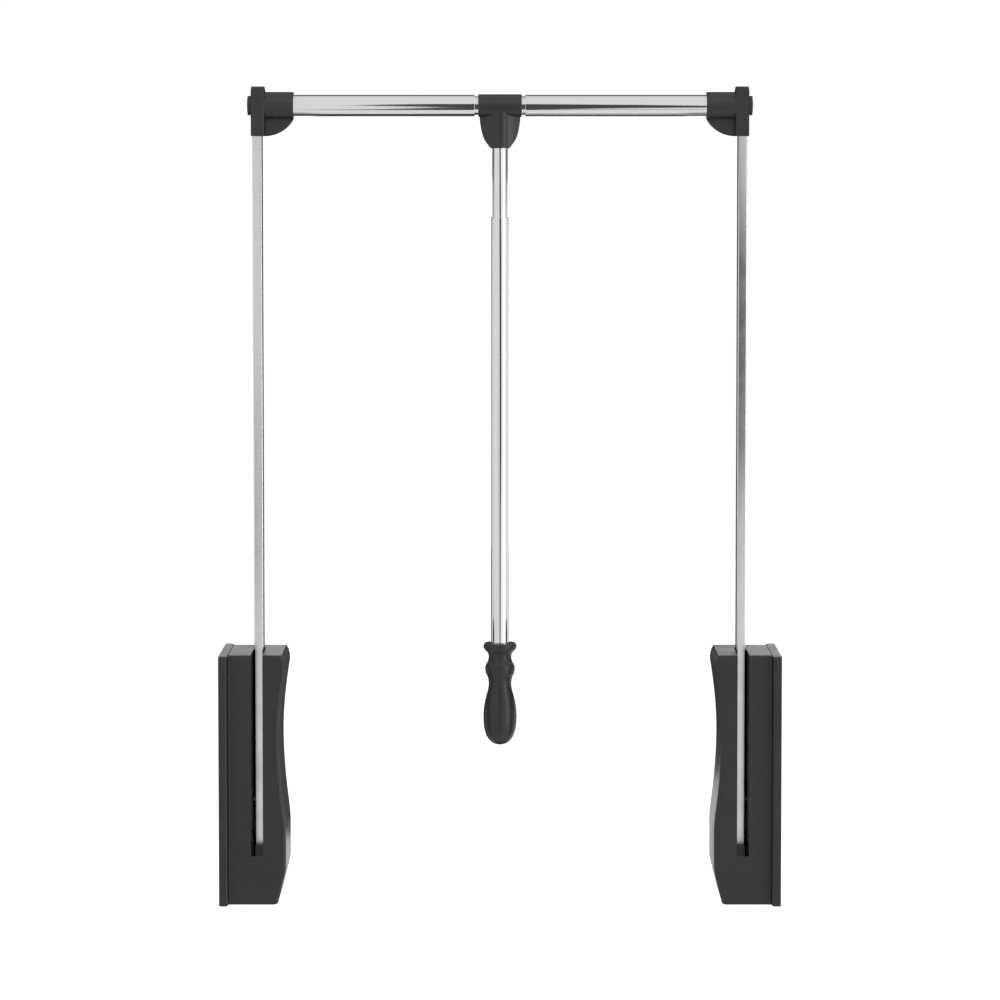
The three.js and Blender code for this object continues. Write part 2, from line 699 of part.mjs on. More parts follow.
// Corner connector: an upright socket for the arm, a round socket for the hanging rod and a web under it.
// Drawn with x from the wall face and z from the hanging rod's axis.
function cornerConnector() {
  const upright = new THREE.Shape();
  upright.moveTo(cornerFaceOut, -cornerDrop);
  upright.lineTo(cornerFaceIn, -cornerDrop);
  upright.lineTo(cornerFaceIn, cornerRise - cornerBevelHeight);
  upright.lineTo(cornerFaceIn - cornerBevelWidth, cornerRise);
  upright.lineTo(cornerFaceOut, cornerRise);
  upright.closePath();

  // The web's edge is one arc, from the foot of the upright to the socket's end.
  const web = new THREE.Shape();
  const [webRun, webRise] = [socketEnd - cornerFaceIn, cornerDrop - socketRadius];
  const webRadius = (webRun ** 2 + webRise ** 2) / (2 * webRise);
  const webTurn = 2 * Math.atan(webRise / webRun) - Math.PI / 2;
  web.moveTo(cornerFaceIn - overrun, 0);
  web.lineTo(cornerFaceIn - overrun, -cornerDrop);
  web.absarc(cornerFaceIn, webRadius - cornerDrop, webRadius, -Math.PI / 2, webTurn, false);
  web.lineTo(socketEnd, 0);
  web.closePath();

  const socket = alongX(bar(socketRadius, socketEnd - cornerFaceIn + overrun, socketEdge, tubeSides));
  socket.translate(cornerFaceIn - overrun, 0, 0);
  const armSocket = flatBar(
    armThickness + 2 * clearance, armDepth + 2 * clearance, armCorner + clearance,
    -cornerDrop - overrun, armTopRise + clearance,
  );
  armSocket.translate(armOffset, 0, 0);
  const tubeBore = alongX(plainBar(outerTubeRadius + clearance, socketRun, tubeSides));
  tubeBore.translate(cornerFaceIn + socketFloor, 0, 0);
  const boltRun = cornerWidth + socketFloor + 2 * overrun;
  const boltBore = alongX(plainBar(boltRadius + clearance, boltRun, smallSides));
  boltBore.translate(cornerFaceOut - overrun, 0, 0);
  return fuse(
    fromFront(upright, cornerDepth, cornerEdge),
    [fromFront(web, webThickness), socket],
    [armSocket, tubeBore, boltBore],
  );
}

// Connector cap: a shallow dome that snaps over the bolt's head. It stands along +Z on its open side.
function connectorCap() {
  const recess = boltHeadDepth + clearance;
  const outline = [
    [boltHeadRadius + clearance, 0], [capRadius, 0], [capRadius, capProud - 2 * capEdge],
    [capRadius - capEdge, capProud - capEdge], [capRadius / 2, capProud - clearance], [0, capProud],
  ];
  outline.push([0, recess], [boltHeadRadius + clearance, recess], [boltHeadRadius + clearance, 0]);
  return turned(outline, tubeSides);
}

function connectorBolt() {
  const shank = cornerWidth + socketFloor + clearance + boltPlugRun;
  const outline = [
    [0, -shank], [boltRadius - tubeEdge, -shank], [boltRadius, tubeEdge - shank], [boltRadius, 0],
    [boltHeadRadius, 0], [boltHeadRadius, boltHeadDepth / 2], [boltHeadRadius / 2, boltHeadDepth],
    [0, boltHeadDepth],
  ];
  return turned(outline, smallSides);
}

// Glide: closes a tube's end and runs in the next larger tube.
function glide(bore, headRadius) {
  const shankRadius = bore - clearance;
  const outline = [
    [0, 0], [headRadius - tubeEdge, 0], [headRadius, tubeEdge], [headRadius, glideHead],
    [shankRadius, glideHead], [shankRadius, glideHead + glideShank], [0, glideHead + glideShank],
  ];
  return turned(outline, smallSides);
}

// Centre tube of the hanging rod, with a shallow groove round its middle for the tee's swivel screw.
function centreTube() {
  const middle = centreTubeLength / 2;
  const floor = centreTubeRadius - grooveDepth;
  const outline = [
    [centreTubeBore, 0], [centreTubeRadius - tubeEdge, 0], [centreTubeRadius, tubeEdge],
    [centreTubeRadius, middle - grooveWidth / 2], [floor, middle - grooveWidth / 2],
    [floor, middle + grooveWidth / 2], [centreTubeRadius, middle + grooveWidth / 2],
    [centreTubeRadius, centreTubeLength - tubeEdge], [centreTubeRadius - tubeEdge, centreTubeLength],
    [centreTubeBore, centreTubeLength], [centreTubeBore, 0],
  ];
  return alongX(turned(outline, tubeSides)).translate(-middle, 0, 0);
}

// Tee connector: a sleeve on the centre tube, and a cup below it that narrows to the pull rod's neck.
function teeConnector() {
  const sleeve = alongX(bar(teeRadius, teeLength, teeEdge, tubeSides)).translate(-teeLength / 2, 0, 0);
  const section = (halfWidth, halfDepth, drop) => {
    const ring = [];
    for (let i = 0; i < cupSides; i += 1) {
      const angle = (2 * Math.PI * i) / cupSides;
      ring.push(new THREE.Vector3(halfWidth * Math.cos(angle), halfDepth * Math.sin(angle), -drop));
    }
    return ring;
  };
  const rings = cupShares.map(([dropShare, widthShare]) => {
    const halfWidth = teeNeckRadius + widthShare * (teeLength / 2 - teeEdge - teeNeckRadius);
    return section(halfWidth, teeNeckRadius, dropShare * teeDrop);
  });
  const lipRadius = teeNeckRadius - teeLipInset;
  rings.push(section(lipRadius, lipRadius, teeDrop + teeLip));
  const cup = skin(rings.reverse());

  const tubeBore = alongX(plainBar(centreTubeRadius + clearance, teeLength + 2 * overrun, tubeSides));
  tubeBore.translate(-teeLength / 2 - overrun, 0, 0);
  const pullSeat = plainBar(upperPullRadius + clearance, teeDrop + teeLip + overrun - teeSeat, tubeSides);
  pullSeat.translate(0, 0, -teeDrop - teeLip - overrun);
  const swivelHole = alongY(plainBar(swivelScrewRadius + clearance, teeRadius, screwSides));
  swivelHole.translate(0, centreTubeBore, 0);
  const lockHole = alongY(plainBar(lockScrewRadius + clearance, teeRadius, smallSides));
  lockHole.translate(0, upperPullBore, -lockScrewDrop);
  return fuse(sleeve, [cup], [tubeBore, pullSeat, swivelHole, lockHole]);
}

// Headless screws, each from its tip outwards along +Y, to just below the tee's surface.
function swivelScrew() {
  const length = teeRadius - swivelScrewRecess - (centreTubeRadius - grooveDepth + clearance);
  return solidOf(alongY(plainBar(swivelScrewRadius, length, screwSides)));
}

function lockScrew() {
  const length = teeNeckRadius - swivelScrewRecess - lockScrewTip;
  return solidOf(alongY(plainBar(lockScrewRadius, length, screwSides)));
}

// Upper tube of the pull rod, measured from the hanging rod's axis, with a hole for the lock screw.
function upperPullTube() {
  const length = upperPullEnd - teeSeat - clearance;
  const body = tube(upperPullRadius, upperPullBore, length, tubeEdge, tubeSides);
  body.translate(0, 0, -upperPullEnd);
  const hole = alongY(plainBar(lockScrewRadius + clearance, upperPullRadius, screwSides));
  return fuse(body, [], [hole.translate(0, clearance, -lockScrewDrop)]);
}

function lowerPullTube() {
  const length = handleTop + lowerPullSeat - lowerPullTop;
  const body = tube(lowerPullRadius, lowerPullBore, length, tubeEdge, tubeSides);
  return solidOf(body.translate(0, 0, -lowerPullTop - length));
}

// Handle: a turned grip with a rim, a bead between two necks, and a bulb with a round end.
function handle() {
  const places = handleShares.map(
    ([along, radius]) => new THREE.Vector2(radius * handleRadius, -handleTop - along * handleLength),
  );
  const outline = places.reverse().map((point) => [point.x, point.y]);
  outline.push([0, -handleTop]);
  const body = turned(outline, handleSides);
  const boreDepth = lowerPullSeat + clearance;
  const bore = plainBar(lowerPullRadius + clearance, boreDepth + overrun, tubeSides);
  return fuse(body, [], [bore.translate(0, 0, -handleTop - boreDepth)]);
}

// One side: the housing on its wall, the arm on its axle, and the end of the hanging rod on the arm.
function side(name) {
  const group = new THREE.Group();

  const housing = new THREE.Group();
  housing.position.z = -plateHeight / 2;
  piece(housing, name + "_base_plate", basePlate(), blackPlastic);
  piece(housing, name + "_housing_shell", housingShell(), blackPlastic);
  screwPlaces().forEach(([y, z], i) => {
    piece(housing, name + "_housing_screw_" + (i + 1), housingScrew(), zincSteel, [0, y, z]);
  });
  const axle = alongX(bar(axleRadius, axleEnd - axleStart, tubeEdge, smallSides));
  piece(housing, name + "_pivot_axle", solidOf(axle), zincSteel, [axleStart, armSetback, pivotHeight]);
  const anchorStart = plateThickness - anchorPlateRun + clearance;
  const anchorPin = neckedPin(slotFaceOut - anchorStart, springAxis - anchorStart);
  const anchorPlace = [anchorStart, anchorSetback, anchorHeight];
  piece(housing, name + "_spring_anchor", solidOf(anchorPin), zincSteel, anchorPlace);
  const spring = liftSpring(name + "_lift_spring");
  piece(housing, name + "_lift_spring", spring.solid, springSteel, spring.place);
  const pad = block(
    [-stopWidth / 2, 0, -stopLength / 2],
    [stopWidth / 2, stopPadThickness, stopLength / 2],
  );
  const padPlace = [armOffset, armRear + clearance, stopHeight];
  piece(housing, name + "_stop_pad", solidOf(pad), blackRubber, padPlace);
  group.add(housing);

  const lift = new THREE.Group();
  lift.position.set(armOffset, armSetback, pivotHeight - plateHeight / 2);
  piece(lift, name + "_arm", swingArm(), chromedSteel);
  piece(lift, name + "_arm_shoe", armShoe(), blackPlastic);
  piece(lift, name + "_room_bush", solidOf(alongX(armBush())), greyNylon);
  piece(lift, name + "_wall_bush", solidOf(alongX(armBush()).rotateZ(Math.PI)), greyNylon);
  const pinStart = springAxis - springPinTail - armOffset;
  const springPin = neckedPin(armThickness / 2 - pinStart, springPinTail);
  piece(lift, name + "_spring_pin", solidOf(springPin), zincSteel, [pinStart, 0, springPinRise]);
  group.add(lift);

  const rodEnd = new THREE.Group();
  rodEnd.position.set(0, armSetback, rodAxisHeight - plateHeight / 2);
  piece(rodEnd, name + "_corner_connector", cornerConnector(), blackPlastic);
  const capPlace = [cornerFaceOut - clearance, 0, 0];
  const cap = solidOf(connectorCap().rotateY(-Math.PI / 2));
  piece(rodEnd, name + "_connector_cap", cap, blackPlastic, capPlace);
  const bolt = solidOf(connectorBolt().rotateY(-Math.PI / 2));
  piece(rodEnd, name + "_connector_bolt", bolt, zincSteel, capPlace);
  const plug = tube(outerTubeBore - clearance, boltRadius + clearance, plugLength, tubeEdge, smallSides);
  piece(rodEnd, name + "_tube_plug", solidOf(alongX(plug)), zincSteel, [outerTubeStart, 0, 0]);
  const outerTube = alongX(tube(outerTubeRadius, outerTubeBore, outerTubeLength, tubeEdge, tubeSides));
  piece(rodEnd, name + "_outer_tube", solidOf(outerTube), chromedSteel, [outerTubeStart, 0, 0]);
  const rodGlide = alongX(glide(centreTubeBore, centreTubeRadius));
  const glidePlace = [centreTubeStart - clearance - glideHead, 0, 0];
  piece(rodEnd, name + "_rod_glide", solidOf(rodGlide), greyNylon, glidePlace);
  group.add(rodEnd);

  return group;
}

// The middle: the centre tube, the tee that swings on it, and the pull rod.
function middle() {
  const group = new THREE.Group();
  group.position.set(closedWidth / 2, armSetback, rodAxisHeight - plateHeight / 2);
  piece(group, "centre_tube", solidOf(centreTube()), chromedSteel);
  piece(group, "tee_connector", teeConnector(), blackPlastic);
  const swivelTip = centreTubeRadius - grooveDepth + clearance;
  piece(group, "tee_swivel_screw", swivelScrew(), zincSteel, [0, swivelTip, 0]);
  piece(group, "tee_lock_screw", lockScrew(), zincSteel, [0, lockScrewTip, -lockScrewDrop]);
  piece(group, "upper_pull_tube", upperPullTube(), chromedSteel);
  const pullGlide = glide(upperPullBore, lowerPullBore - clearance);
  const glidePlace = [0, 0, -upperPullEnd - clearance - glideHead];
  piece(group, "pull_rod_glide", solidOf(pullGlide), greyNylon, glidePlace);
  piece(group, "lower_pull_tube", lowerPullTube(), chromedSteel);
  piece(group, "handle", handle(), blackPlastic);
  return group;
}

const closetRod = new THREE.Group();
const left = side("left");
const right = side("right");
right.position.x = closedWidth;
right.scale.x = -1;
closetRod.add(left, right, middle());

export default closetRod;
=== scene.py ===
import math

import bmesh
import bpy
from mathutils import Matrix, Vector


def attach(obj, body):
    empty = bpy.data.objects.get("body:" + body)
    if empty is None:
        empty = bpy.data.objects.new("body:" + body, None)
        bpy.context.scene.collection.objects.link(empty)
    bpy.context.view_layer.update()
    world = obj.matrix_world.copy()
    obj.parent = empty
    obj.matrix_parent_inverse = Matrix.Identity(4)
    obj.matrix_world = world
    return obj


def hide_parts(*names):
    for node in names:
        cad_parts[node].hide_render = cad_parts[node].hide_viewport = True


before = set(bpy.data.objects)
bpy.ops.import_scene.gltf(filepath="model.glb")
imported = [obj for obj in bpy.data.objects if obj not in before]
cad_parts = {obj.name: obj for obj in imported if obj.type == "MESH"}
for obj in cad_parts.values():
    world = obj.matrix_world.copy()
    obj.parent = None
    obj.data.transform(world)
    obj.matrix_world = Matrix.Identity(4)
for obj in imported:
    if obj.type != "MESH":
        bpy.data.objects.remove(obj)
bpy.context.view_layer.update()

# Base plates: a slab of glass-filled nylon, injection moulded, one on each side of the cabinet. Wall screws
# go through countersunk holes in its margins. Four screws from its wall face hold the housing, and a boss
# on its room face carries one end of the arm's axle. Sizes here and below are millimetres in the CAD frame.
mm = 0.001
closed_width = 576
foot, head = -129, 129
plate_thickness, plate_half_depth, plate_corner, plate_edge, plate_end_edge = 9, 62.5, 4, 2.6, 0.5
wall_holes = [(y, z) for y in (-56.5, 56.5) for z in (-105, 105)]
wall_hole_radius, wall_head_radius, wall_sink_start = 2.3, 4.4, 6.4
housing_screws = [(y, z) for z in (-122.4, 122.4) for y in (-43.9, 43.9)]
screw_hole_radius, screw_head_radius, screw_sink_depth = 2, 3.9, 2.4
pivot_y, pivot_z = 9, -55.5
anchor_y, anchor_z = 33, 111
axle_bore, pin_bore, boss_radius, boss_gap = 5.3, 3.3, 10, 0.3
axle_seat, anchor_seat = 8.2, 5
cheek_out, cheek_in = 30.4, 32.4
overrun, root = 1, 2  # how far a cut runs past what it cuts, and a joined piece starts inside the other
moulded_black = "#191919"
moulded_black_worn = "#202020"


def linear(colour):
    """An sRGB hex colour as linear red, green and blue with full alpha."""
    parts = [int(colour[i:i + 2], 16) / 255 for i in (1, 3, 5)]
    return [p / 12.92 if p <= 0.04045 else ((p + 0.055) / 1.055) ** 2.4 for p in parts] + [1.0]


def add_node(tree, kind, settings=None, sockets=None):
    """Adds a node with its own settings. A socket takes a value, or the output that it is linked to."""
    node = tree.nodes.new(kind)
    for name, value in (settings or {}).items():
        setattr(node, name, value)
    for name, value in (sockets or {}).items():
        if isinstance(value, bpy.types.NodeSocket):
            tree.links.new(value, node.inputs[name])
        else:
            node.inputs[name].default_value = value
    return node


def new_material(name):
    """An empty material, its node tree and the surface coordinates of the piece that wears it."""
    material = bpy.data.materials.new(name)
    material.use_nodes = True
    tree = material.node_tree
    tree.nodes.clear()
    place = add_node(tree, "ShaderNodeTexCoord").outputs["Object"]
    return material, tree, place


def set_surface(tree, sockets):
    """Ends a material in a principled surface with these sockets."""
    shader = add_node(tree, "ShaderNodeBsdfPrincipled", None, sockets)
    add_node(tree, "ShaderNodeOutputMaterial", None, {"Surface": shader.outputs["BSDF"]})


def moulded_nylon(name, colour, worn, roughness, specular=0.35):
    """Glass-filled nylon from a spark-eroded mould: an even satin with a fine grain, slightly cloudy where
    the melt flowed. The real grain is about 0.3 mm. It is drawn coarser, because finer doesn't show."""
    grain, grain_depth, cloud_size, unevenness = 1.1, 0.05, 38, 0.035
    material, tree, place = new_material(name)
    fine = add_node(tree, "ShaderNodeTexNoise", None,
                    {"Vector": place, "Scale": 1 / (grain * mm), "Detail": 2})
    cloud = add_node(tree, "ShaderNodeTexNoise", None,
                     {"Vector": place, "Scale": 1 / (cloud_size * mm), "Detail": 3})
    tint = add_node(tree, "ShaderNodeMix", {"data_type": "RGBA"},
                    {"Factor": cloud.outputs["Fac"], "A": linear(colour), "B": linear(worn)})
    gloss = add_node(tree, "ShaderNodeMapRange", None,
                     {"Value": cloud.outputs["Fac"], "From Min": 0.3, "From Max": 0.7,
                      "To Min": roughness - unevenness, "To Max": roughness + unevenness})
    bump = add_node(tree, "ShaderNodeBump", None,
                    {"Height": fine.outputs["Fac"], "Strength": 0.16, "Distance": grain_depth * mm})
    set_surface(tree, {"Base Color": tint.outputs["Result"], "Roughness": gloss.outputs["Result"],
                       "Normal": bump.outputs["Normal"], "IOR": 1.53, "Specular IOR Level": specular})
    return material


def solid(name, rings, ring_closed=False):
    """A closed solid over rings of as many points each. It is capped at both ends, or closed on itself."""
    form = bmesh.new()
    loops = [[form.verts.new(Vector(point) * mm) for point in ring] for ring in rings]
    pairs = list(zip(loops, loops[1:])) + ([(loops[-1], loops[0])] if ring_closed else [])
    for low, high in pairs:
        for i in range(len(low)):
            j = (i + 1) % len(low)
            form.faces.new((low[i], low[j], high[j], high[i]))
    if not ring_closed:
        form.faces.new(loops[0])
        form.faces.new(loops[-1])
    bmesh.ops.remove_doubles(form, verts=form.verts, dist=0.0005 * mm)
    bmesh.ops.recalc_face_normals(form, faces=form.faces)
    mesh = bpy.data.meshes.new(name)
    form.to_mesh(mesh)
    form.free()
    piece = bpy.data.objects.new(name, mesh)
    bpy.context.scene.collection.objects.link(piece)
    return piece


def turned(name, outline, place, along, sides=96, ring_closed=False):
    """A piece turned round an axis through place. The outline lists how far along it, and the radius."""
    turn = [2 * math.pi * i / sides for i in range(sides)]
    place = Vector(place)
    rings = []
    for far, radius in outline:
        flat = [(radius * math.cos(a), radius * math.sin(a)) for a in turn]
        if along == "X":
            rings.append([place + Vector((far, u, v)) for u, v in flat])
        elif along == "Y":
            rings.append([place + Vector((u, far, v)) for u, v in flat])
        else:
            rings.append([place + Vector((u, v, far)) for u, v in flat])
    return solid(name, rings, ring_closed)


def round_bar(name, start, end, radius, place, along, sides=32):
    """A plain round bar from start to end along an axis through place."""
    return turned(name, [(start, 0), (start, radius), (end, radius), (end, 0)], place, along, sides)


def prism(name, outline, low, high, along):
    """An outline drawn out along one axis. It lists (y, z) along X, (x, z) along Y or (x, y) along Z."""
    def at(far):
        if along == "X":
            return [(far, u, v) for u, v in outline]
        if along == "Y":
            return [(u, far, v) for u, v in outline]
        return [(u, v, far) for u, v in outline]
    return solid(name, [at(low), at(high)])


def block(name, low, high):
    """A plain box from its lowest to its highest corner."""
    outline = [(low[0], low[1]), (high[0], low[1]), (high[0], high[1]), (low[0], high[1])]
    return prism(name, outline, low[2], high[2], "Z")


def rounded_rectangle(width, height, radius, centre=(0, 0), steps=6):
    """The outline of a rectangle with round corners."""
    points = []
    for corner in range(4):
        u = centre[0] + (width / 2 - radius) * (1 if corner in (0, 3) else -1)
        v = centre[1] + (height / 2 - radius) * (1 if corner in (0, 1) else -1)
        for i in range(steps + 1):
            angle = math.pi / 2 * (corner + i / steps)
            points.append((u + radius * math.cos(angle), v + radius * math.sin(angle)))
    return points


def quarter_round(steps):
    """A quarter round of radius one: how far each step is from its end face, and from its side face."""
    turns = [math.pi / 2 * i / steps for i in range(steps + 1)]
    return [(1 - math.sin(a), 1 - math.cos(a)) for a in turns]


def settle(piece):
    """Turns a piece's modifiers into its mesh."""
    made = bpy.data.meshes.new_from_object(piece.evaluated_get(bpy.context.evaluated_depsgraph_get()))
    piece.modifiers.clear()
    piece.data = made
    made.name = piece.name


def shaped(piece, joined=(), cuts=()):
    """The piece with some solids joined to it and then others cut away."""
    for operation, others in (("UNION", joined), ("DIFFERENCE", cuts)):
        for other in others:
            change = piece.modifiers.new(operation, "BOOLEAN")
            change.operation, change.object, change.solver = operation, other, "MANIFOLD"
    bpy.context.view_layer.update()
    settle(piece)
    for other in (*joined, *cuts):
        bpy.data.objects.remove(other)
    return piece


def smooth(piece, sharp_from=32):
    """Smooth shading, with flat faces kept flat and sharp edges kept sharp. Slivers that the cuts leave
    are removed first."""
    form = bmesh.new()
    form.from_mesh(piece.data)
    bmesh.ops.dissolve_degenerate(form, dist=0.002 * mm, edges=form.edges)
    form.to_mesh(piece.data)
    form.free()
    piece.data.polygons.foreach_set("use_smooth", [True] * len(piece.data.polygons))
    piece.data.set_sharp_from_angle(angle=math.radians(sharp_from))
    flat = piece.modifiers.new("flat faces", "WEIGHTED_NORMAL")
    flat.keep_sharp = True
    settle(piece)
    return piece


def opposite(piece, name):
    """The same piece for the other side of the cabinet."""
    mesh = piece.data.copy()
    mesh.name = name
    mesh.transform(Matrix.Translation((closed_width * mm, 0, 0)) @ Matrix.Diagonal((-1, 1, 1, 1)))
    mesh.flip_normals()
    other = bpy.data.objects.new(name, mesh)
    bpy.context.scene.collection.objects.link(other)
    return other


def stands_for(piece, material, slot, body, *nodes):
    """Dresses a finished piece, lets it ride on its body and puts it in the place of its CAD nodes."""
    piece.data.materials.clear()
    piece.data.materials.append(material)
    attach(piece, body)
    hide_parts(*nodes)


def on_both_sides(piece, kind, material, slot, body):
    """Uses a finished left piece for its own node and, turned over, for the right one."""
    for side, form in (("left_", piece), ("right_", opposite(piece, "right_" + kind + "_form"))):
        smooth(form)
        stands_for(form, material, slot, side + body, side + kind)


housing_black = moulded_nylon("housing moulded nylon", moulded_black, moulded_black_worn, 0.35)

outline = rounded_rectangle(2 * plate_half_depth, head - foot, plate_corner)
rings = [[(0, y, z) for y, z in outline]]
for set_back, drawn_in in quarter_round(6):
    outline = rounded_rectangle(2 * (plate_half_depth - plate_edge * drawn_in),
                                head - foot - 2 * plate_end_edge * drawn_in, plate_corner)
    rings.append([(plate_thickness - plate_edge * set_back, y, z) for y, z in outline])
plate = solid("left_base_plate_form", rings)
boss = round_bar("boss", plate_thickness - root, cheek_out - boss_gap, boss_radius, (0, pivot_y, pivot_z),
                 "X", 64)
past_plate = plate_thickness + overrun
plate_cuts = [round_bar("axle seat", axle_seat, cheek_out, axle_bore, (0, pivot_y, pivot_z), "X", 48),
              round_bar("anchor seat", anchor_seat, past_plate, pin_bore, (0, anchor_y, anchor_z), "X")]
sink = [(-overrun, 0), (-overrun, wall_hole_radius), (wall_sink_start, wall_hole_radius),
        (plate_thickness, wall_head_radius), (past_plate, wall_head_radius), (past_plate, 0)]
plate_cuts += [turned("wall hole", sink, (0, y, z), "X", 32) for y, z in wall_holes]
sink = [(-overrun, 0), (-overrun, screw_head_radius), (0, screw_head_radius),
        (screw_sink_depth, screw_hole_radius), (past_plate, screw_hole_radius), (past_plate, 0)]
plate_cuts += [turned("screw hole", sink, (0, y, z), "X", 32) for y, z in housing_screws]
shaped(plate, [boss], plate_cuts)
on_both_sides(plate, "base_plate", housing_black, "black_plastic", "housing")

# Housing shells: one deep moulding of the same nylon on each plate, waisted on its room side, with round
# front and rear edges. The slot for the arm runs down the front and across the top, and a cheek beside it
# screens the spring. Bosses inside take the axle, the stop pad and the screws from the plate.
shell_half_depth, shell_wall, shell_seat, shell_seam = 50.5, 2.8, 9.3, 0.5
shell_room_edge, shell_end_edge = 4, 1.2
bulge, waist, toe, crown = 68.3, 61.3, 59.5, 64.3  # how far the room side is from the wall
belly_foot, belly_top, waist_height, crown_height = 36, 76, 170, 245
toe_round, belly_round = 3.5, 3
half_wall = shell_wall / 2
slot_out, slot_in, slot_sill, slot_rear = 32.4, 44.6, -78.5, 22
stop_rib_low, stop_rib_high = (33.5, 28.1, 67), (43.5, shell_half_depth - half_wall, 85)
boss_end, axle_hole_end = 66.9, 60.8
screw_boss_radius, screw_boss_end, screw_hole_end = 4.2, 19.3, 17.6
fillet_radius, fillet_lift, fillet_end = 1.5, 0.3, 0.4
pin_run = 28  # how far the spring pin is from the axle


def curve(points, steps):
    """Points on the smooth curve that these control points draw, without the first one."""
    made = []
    for step in range(1, steps + 1):
        left = [Vector(p) for p in points]
        while len(left) > 1:
            left = [a.lerp(b, step / steps) for a, b in zip(left, left[1:])]
        made.append(tuple(left[0]))
    return made


def shell_outline(inset, start, end_inset):
    """The shell seen from the front, drawn in on every side but the wall's. Heights are above its foot."""
    b, w, t = bulge - inset, waist - inset, toe - inset
    low, top = end_inset, head - foot - end_inset
    taper = (bulge - toe) / belly_foot
    lower, upper = waist_height - belly_top, crown_height - waist_height
    points = [(start, low), (t - toe_round, low)]
    points += curve([points[-1], (t, low), (t + toe_round * taper, low + toe_round)], 6)
    points.append((b - belly_round * taper, belly_foot - belly_round))
    points += curve([points[-1], (b, belly_foot), (b, belly_foot + belly_round)], 5)
    points.append((b, belly_top))
    points += curve([points[-1], (b, belly_top + 0.15 * lower), (w, waist_height - 0.5 * lower),
                     (w, waist_height)], 20)
    points += curve([points[-1], (w, waist_height + 0.5 * upper), (b, crown_height - 0.05 * upper),
                     (b, crown_height)], 18)
    points += curve([points[-1], (b, crown_height + 0.62 * (top - crown_height)), (crown - inset, top)], 10)
    points.append((start, top))
    return [(x, foot + z) for x, z in points]


def with_other_half(rings, middle_y=0):
    """Rings that come in to a middle plane, and their mirror images going out on its other side."""
    return rings + [[(x, 2 * middle_y - y, z) for x, y, z in ring] for ring in reversed(rings)]


def rounded_edges(piece, width, steps, angle, share=lambda middle: 1):
    """The piece with its sharp edges rounded. share gives, for an edge's middle, its part of the width."""
    form = bmesh.new()
    form.from_mesh(piece.data)
    weights = form.edges.layers.float.new("bevel_weight_edge")
    for edge in form.edges:
        if edge.calc_face_angle(0) > math.radians(angle):
            edge[weights] = share((edge.verts[0].co + edge.verts[1].co) / 2 / mm)
    form.to_mesh(piece.data)
    form.free()
    bevel = piece.modifiers.new("round", "BEVEL")
    bevel.width, bevel.segments, bevel.limit_method = width * mm, steps, "WEIGHT"
    bevel.use_clamp_overlap, bevel.miter_outer = True, "MITER_ARC"
    settle(piece)
    piece.data.attributes.remove(piece.data.attributes["bevel_weight_edge"])
    return piece


rings = []
for drawn_in, set_back in quarter_round(8):
    outline = shell_outline(shell_room_edge * drawn_in, 0, shell_end_edge * drawn_in)
    rings.append([(x, shell_half_depth - shell_room_edge * set_back, z) for x, z in outline])
shell = solid("left_housing_shell_form", with_other_half(rings))
room = prism("room", shell_outline(shell_wall, shell_seat / 2, shell_wall),
             shell_wall - shell_half_depth, shell_half_depth - shell_wall, "Y")
side_opening = block("side opening", (-overrun, -plate_half_depth, foot - overrun),
                     (shell_seat, plate_half_depth, head + overrun))
shaped(shell, (), [room, side_opening])


def on_seam(middle):
    """Whether an edge runs round the outside of the shell where it meets the plate."""
    outside = abs(middle.y) > shell_half_depth - half_wall or abs(middle.z) > head - half_wall
    return abs(middle.x - shell_seat) < 0.1 and outside


rounded_edges(shell, shell_seam, 4, 50, on_seam)
ribs = [block("cheek", (cheek_out, half_wall - shell_half_depth, foot + half_wall),
              (cheek_in, shell_half_depth - half_wall, head - half_wall)),
        round_bar("axle boss", slot_in, boss_end, boss_radius, (0, pivot_y, pivot_z), "X", 64),
        block("stop rib", stop_rib_low, stop_rib_high)]
fillet = [(shell_seat, fillet_radius)]
fillet += [(shell_seat + fillet_lift + fillet_radius * far, fillet_radius * high)
           for high, far in quarter_round(6)]
fillet += [(shell_seat + fillet_lift + fillet_radius, -overrun), (shell_seat, -overrun)]
for side in (-1, 1):
    outline = [(x, side * (shell_half_depth + far)) for x, far in fillet]
    ribs.append(prism("seam fillet", outline, foot + fillet_end, head - fillet_end, "Z"))
ribs += [round_bar("screw boss", shell_seat, screw_boss_end, screw_boss_radius, (0, y, z), "X")
         for y, z in housing_screws]
track = [(pivot_y + radius * math.cos(a), pivot_z + radius * math.sin(a))
         for radius, turn in ((pin_run + pin_bore, range(0, 20)), (pin_run - pin_bore, range(19, -1, -1)))
         for a in (math.radians(90 + 5 * i) for i in turn)]
cheek_cut = cheek_out - overrun, cheek_in + overrun
shell_cuts = [block("slot", (slot_out, -shell_half_depth - overrun, slot_sill),
                    (slot_in, slot_rear, head + overrun)),
              round_bar("axle hole", cheek_cut[0], axle_hole_end, axle_bore, (0, pivot_y, pivot_z), "X", 48),
              round_bar("anchor hole", *cheek_cut, pin_bore, (0, anchor_y, anchor_z), "X"),
              prism("pin track", track, *cheek_cut, "X")]
shell_cuts += [round_bar("screw hole", shell_seat - overrun, screw_hole_end, screw_hole_radius, (0, y, z),
                         "X", 24) for y, z in housing_screws]
shaped(shell, ribs, shell_cuts)
on_both_sides(shell, "housing_shell", housing_black, "black_plastic", "housing")

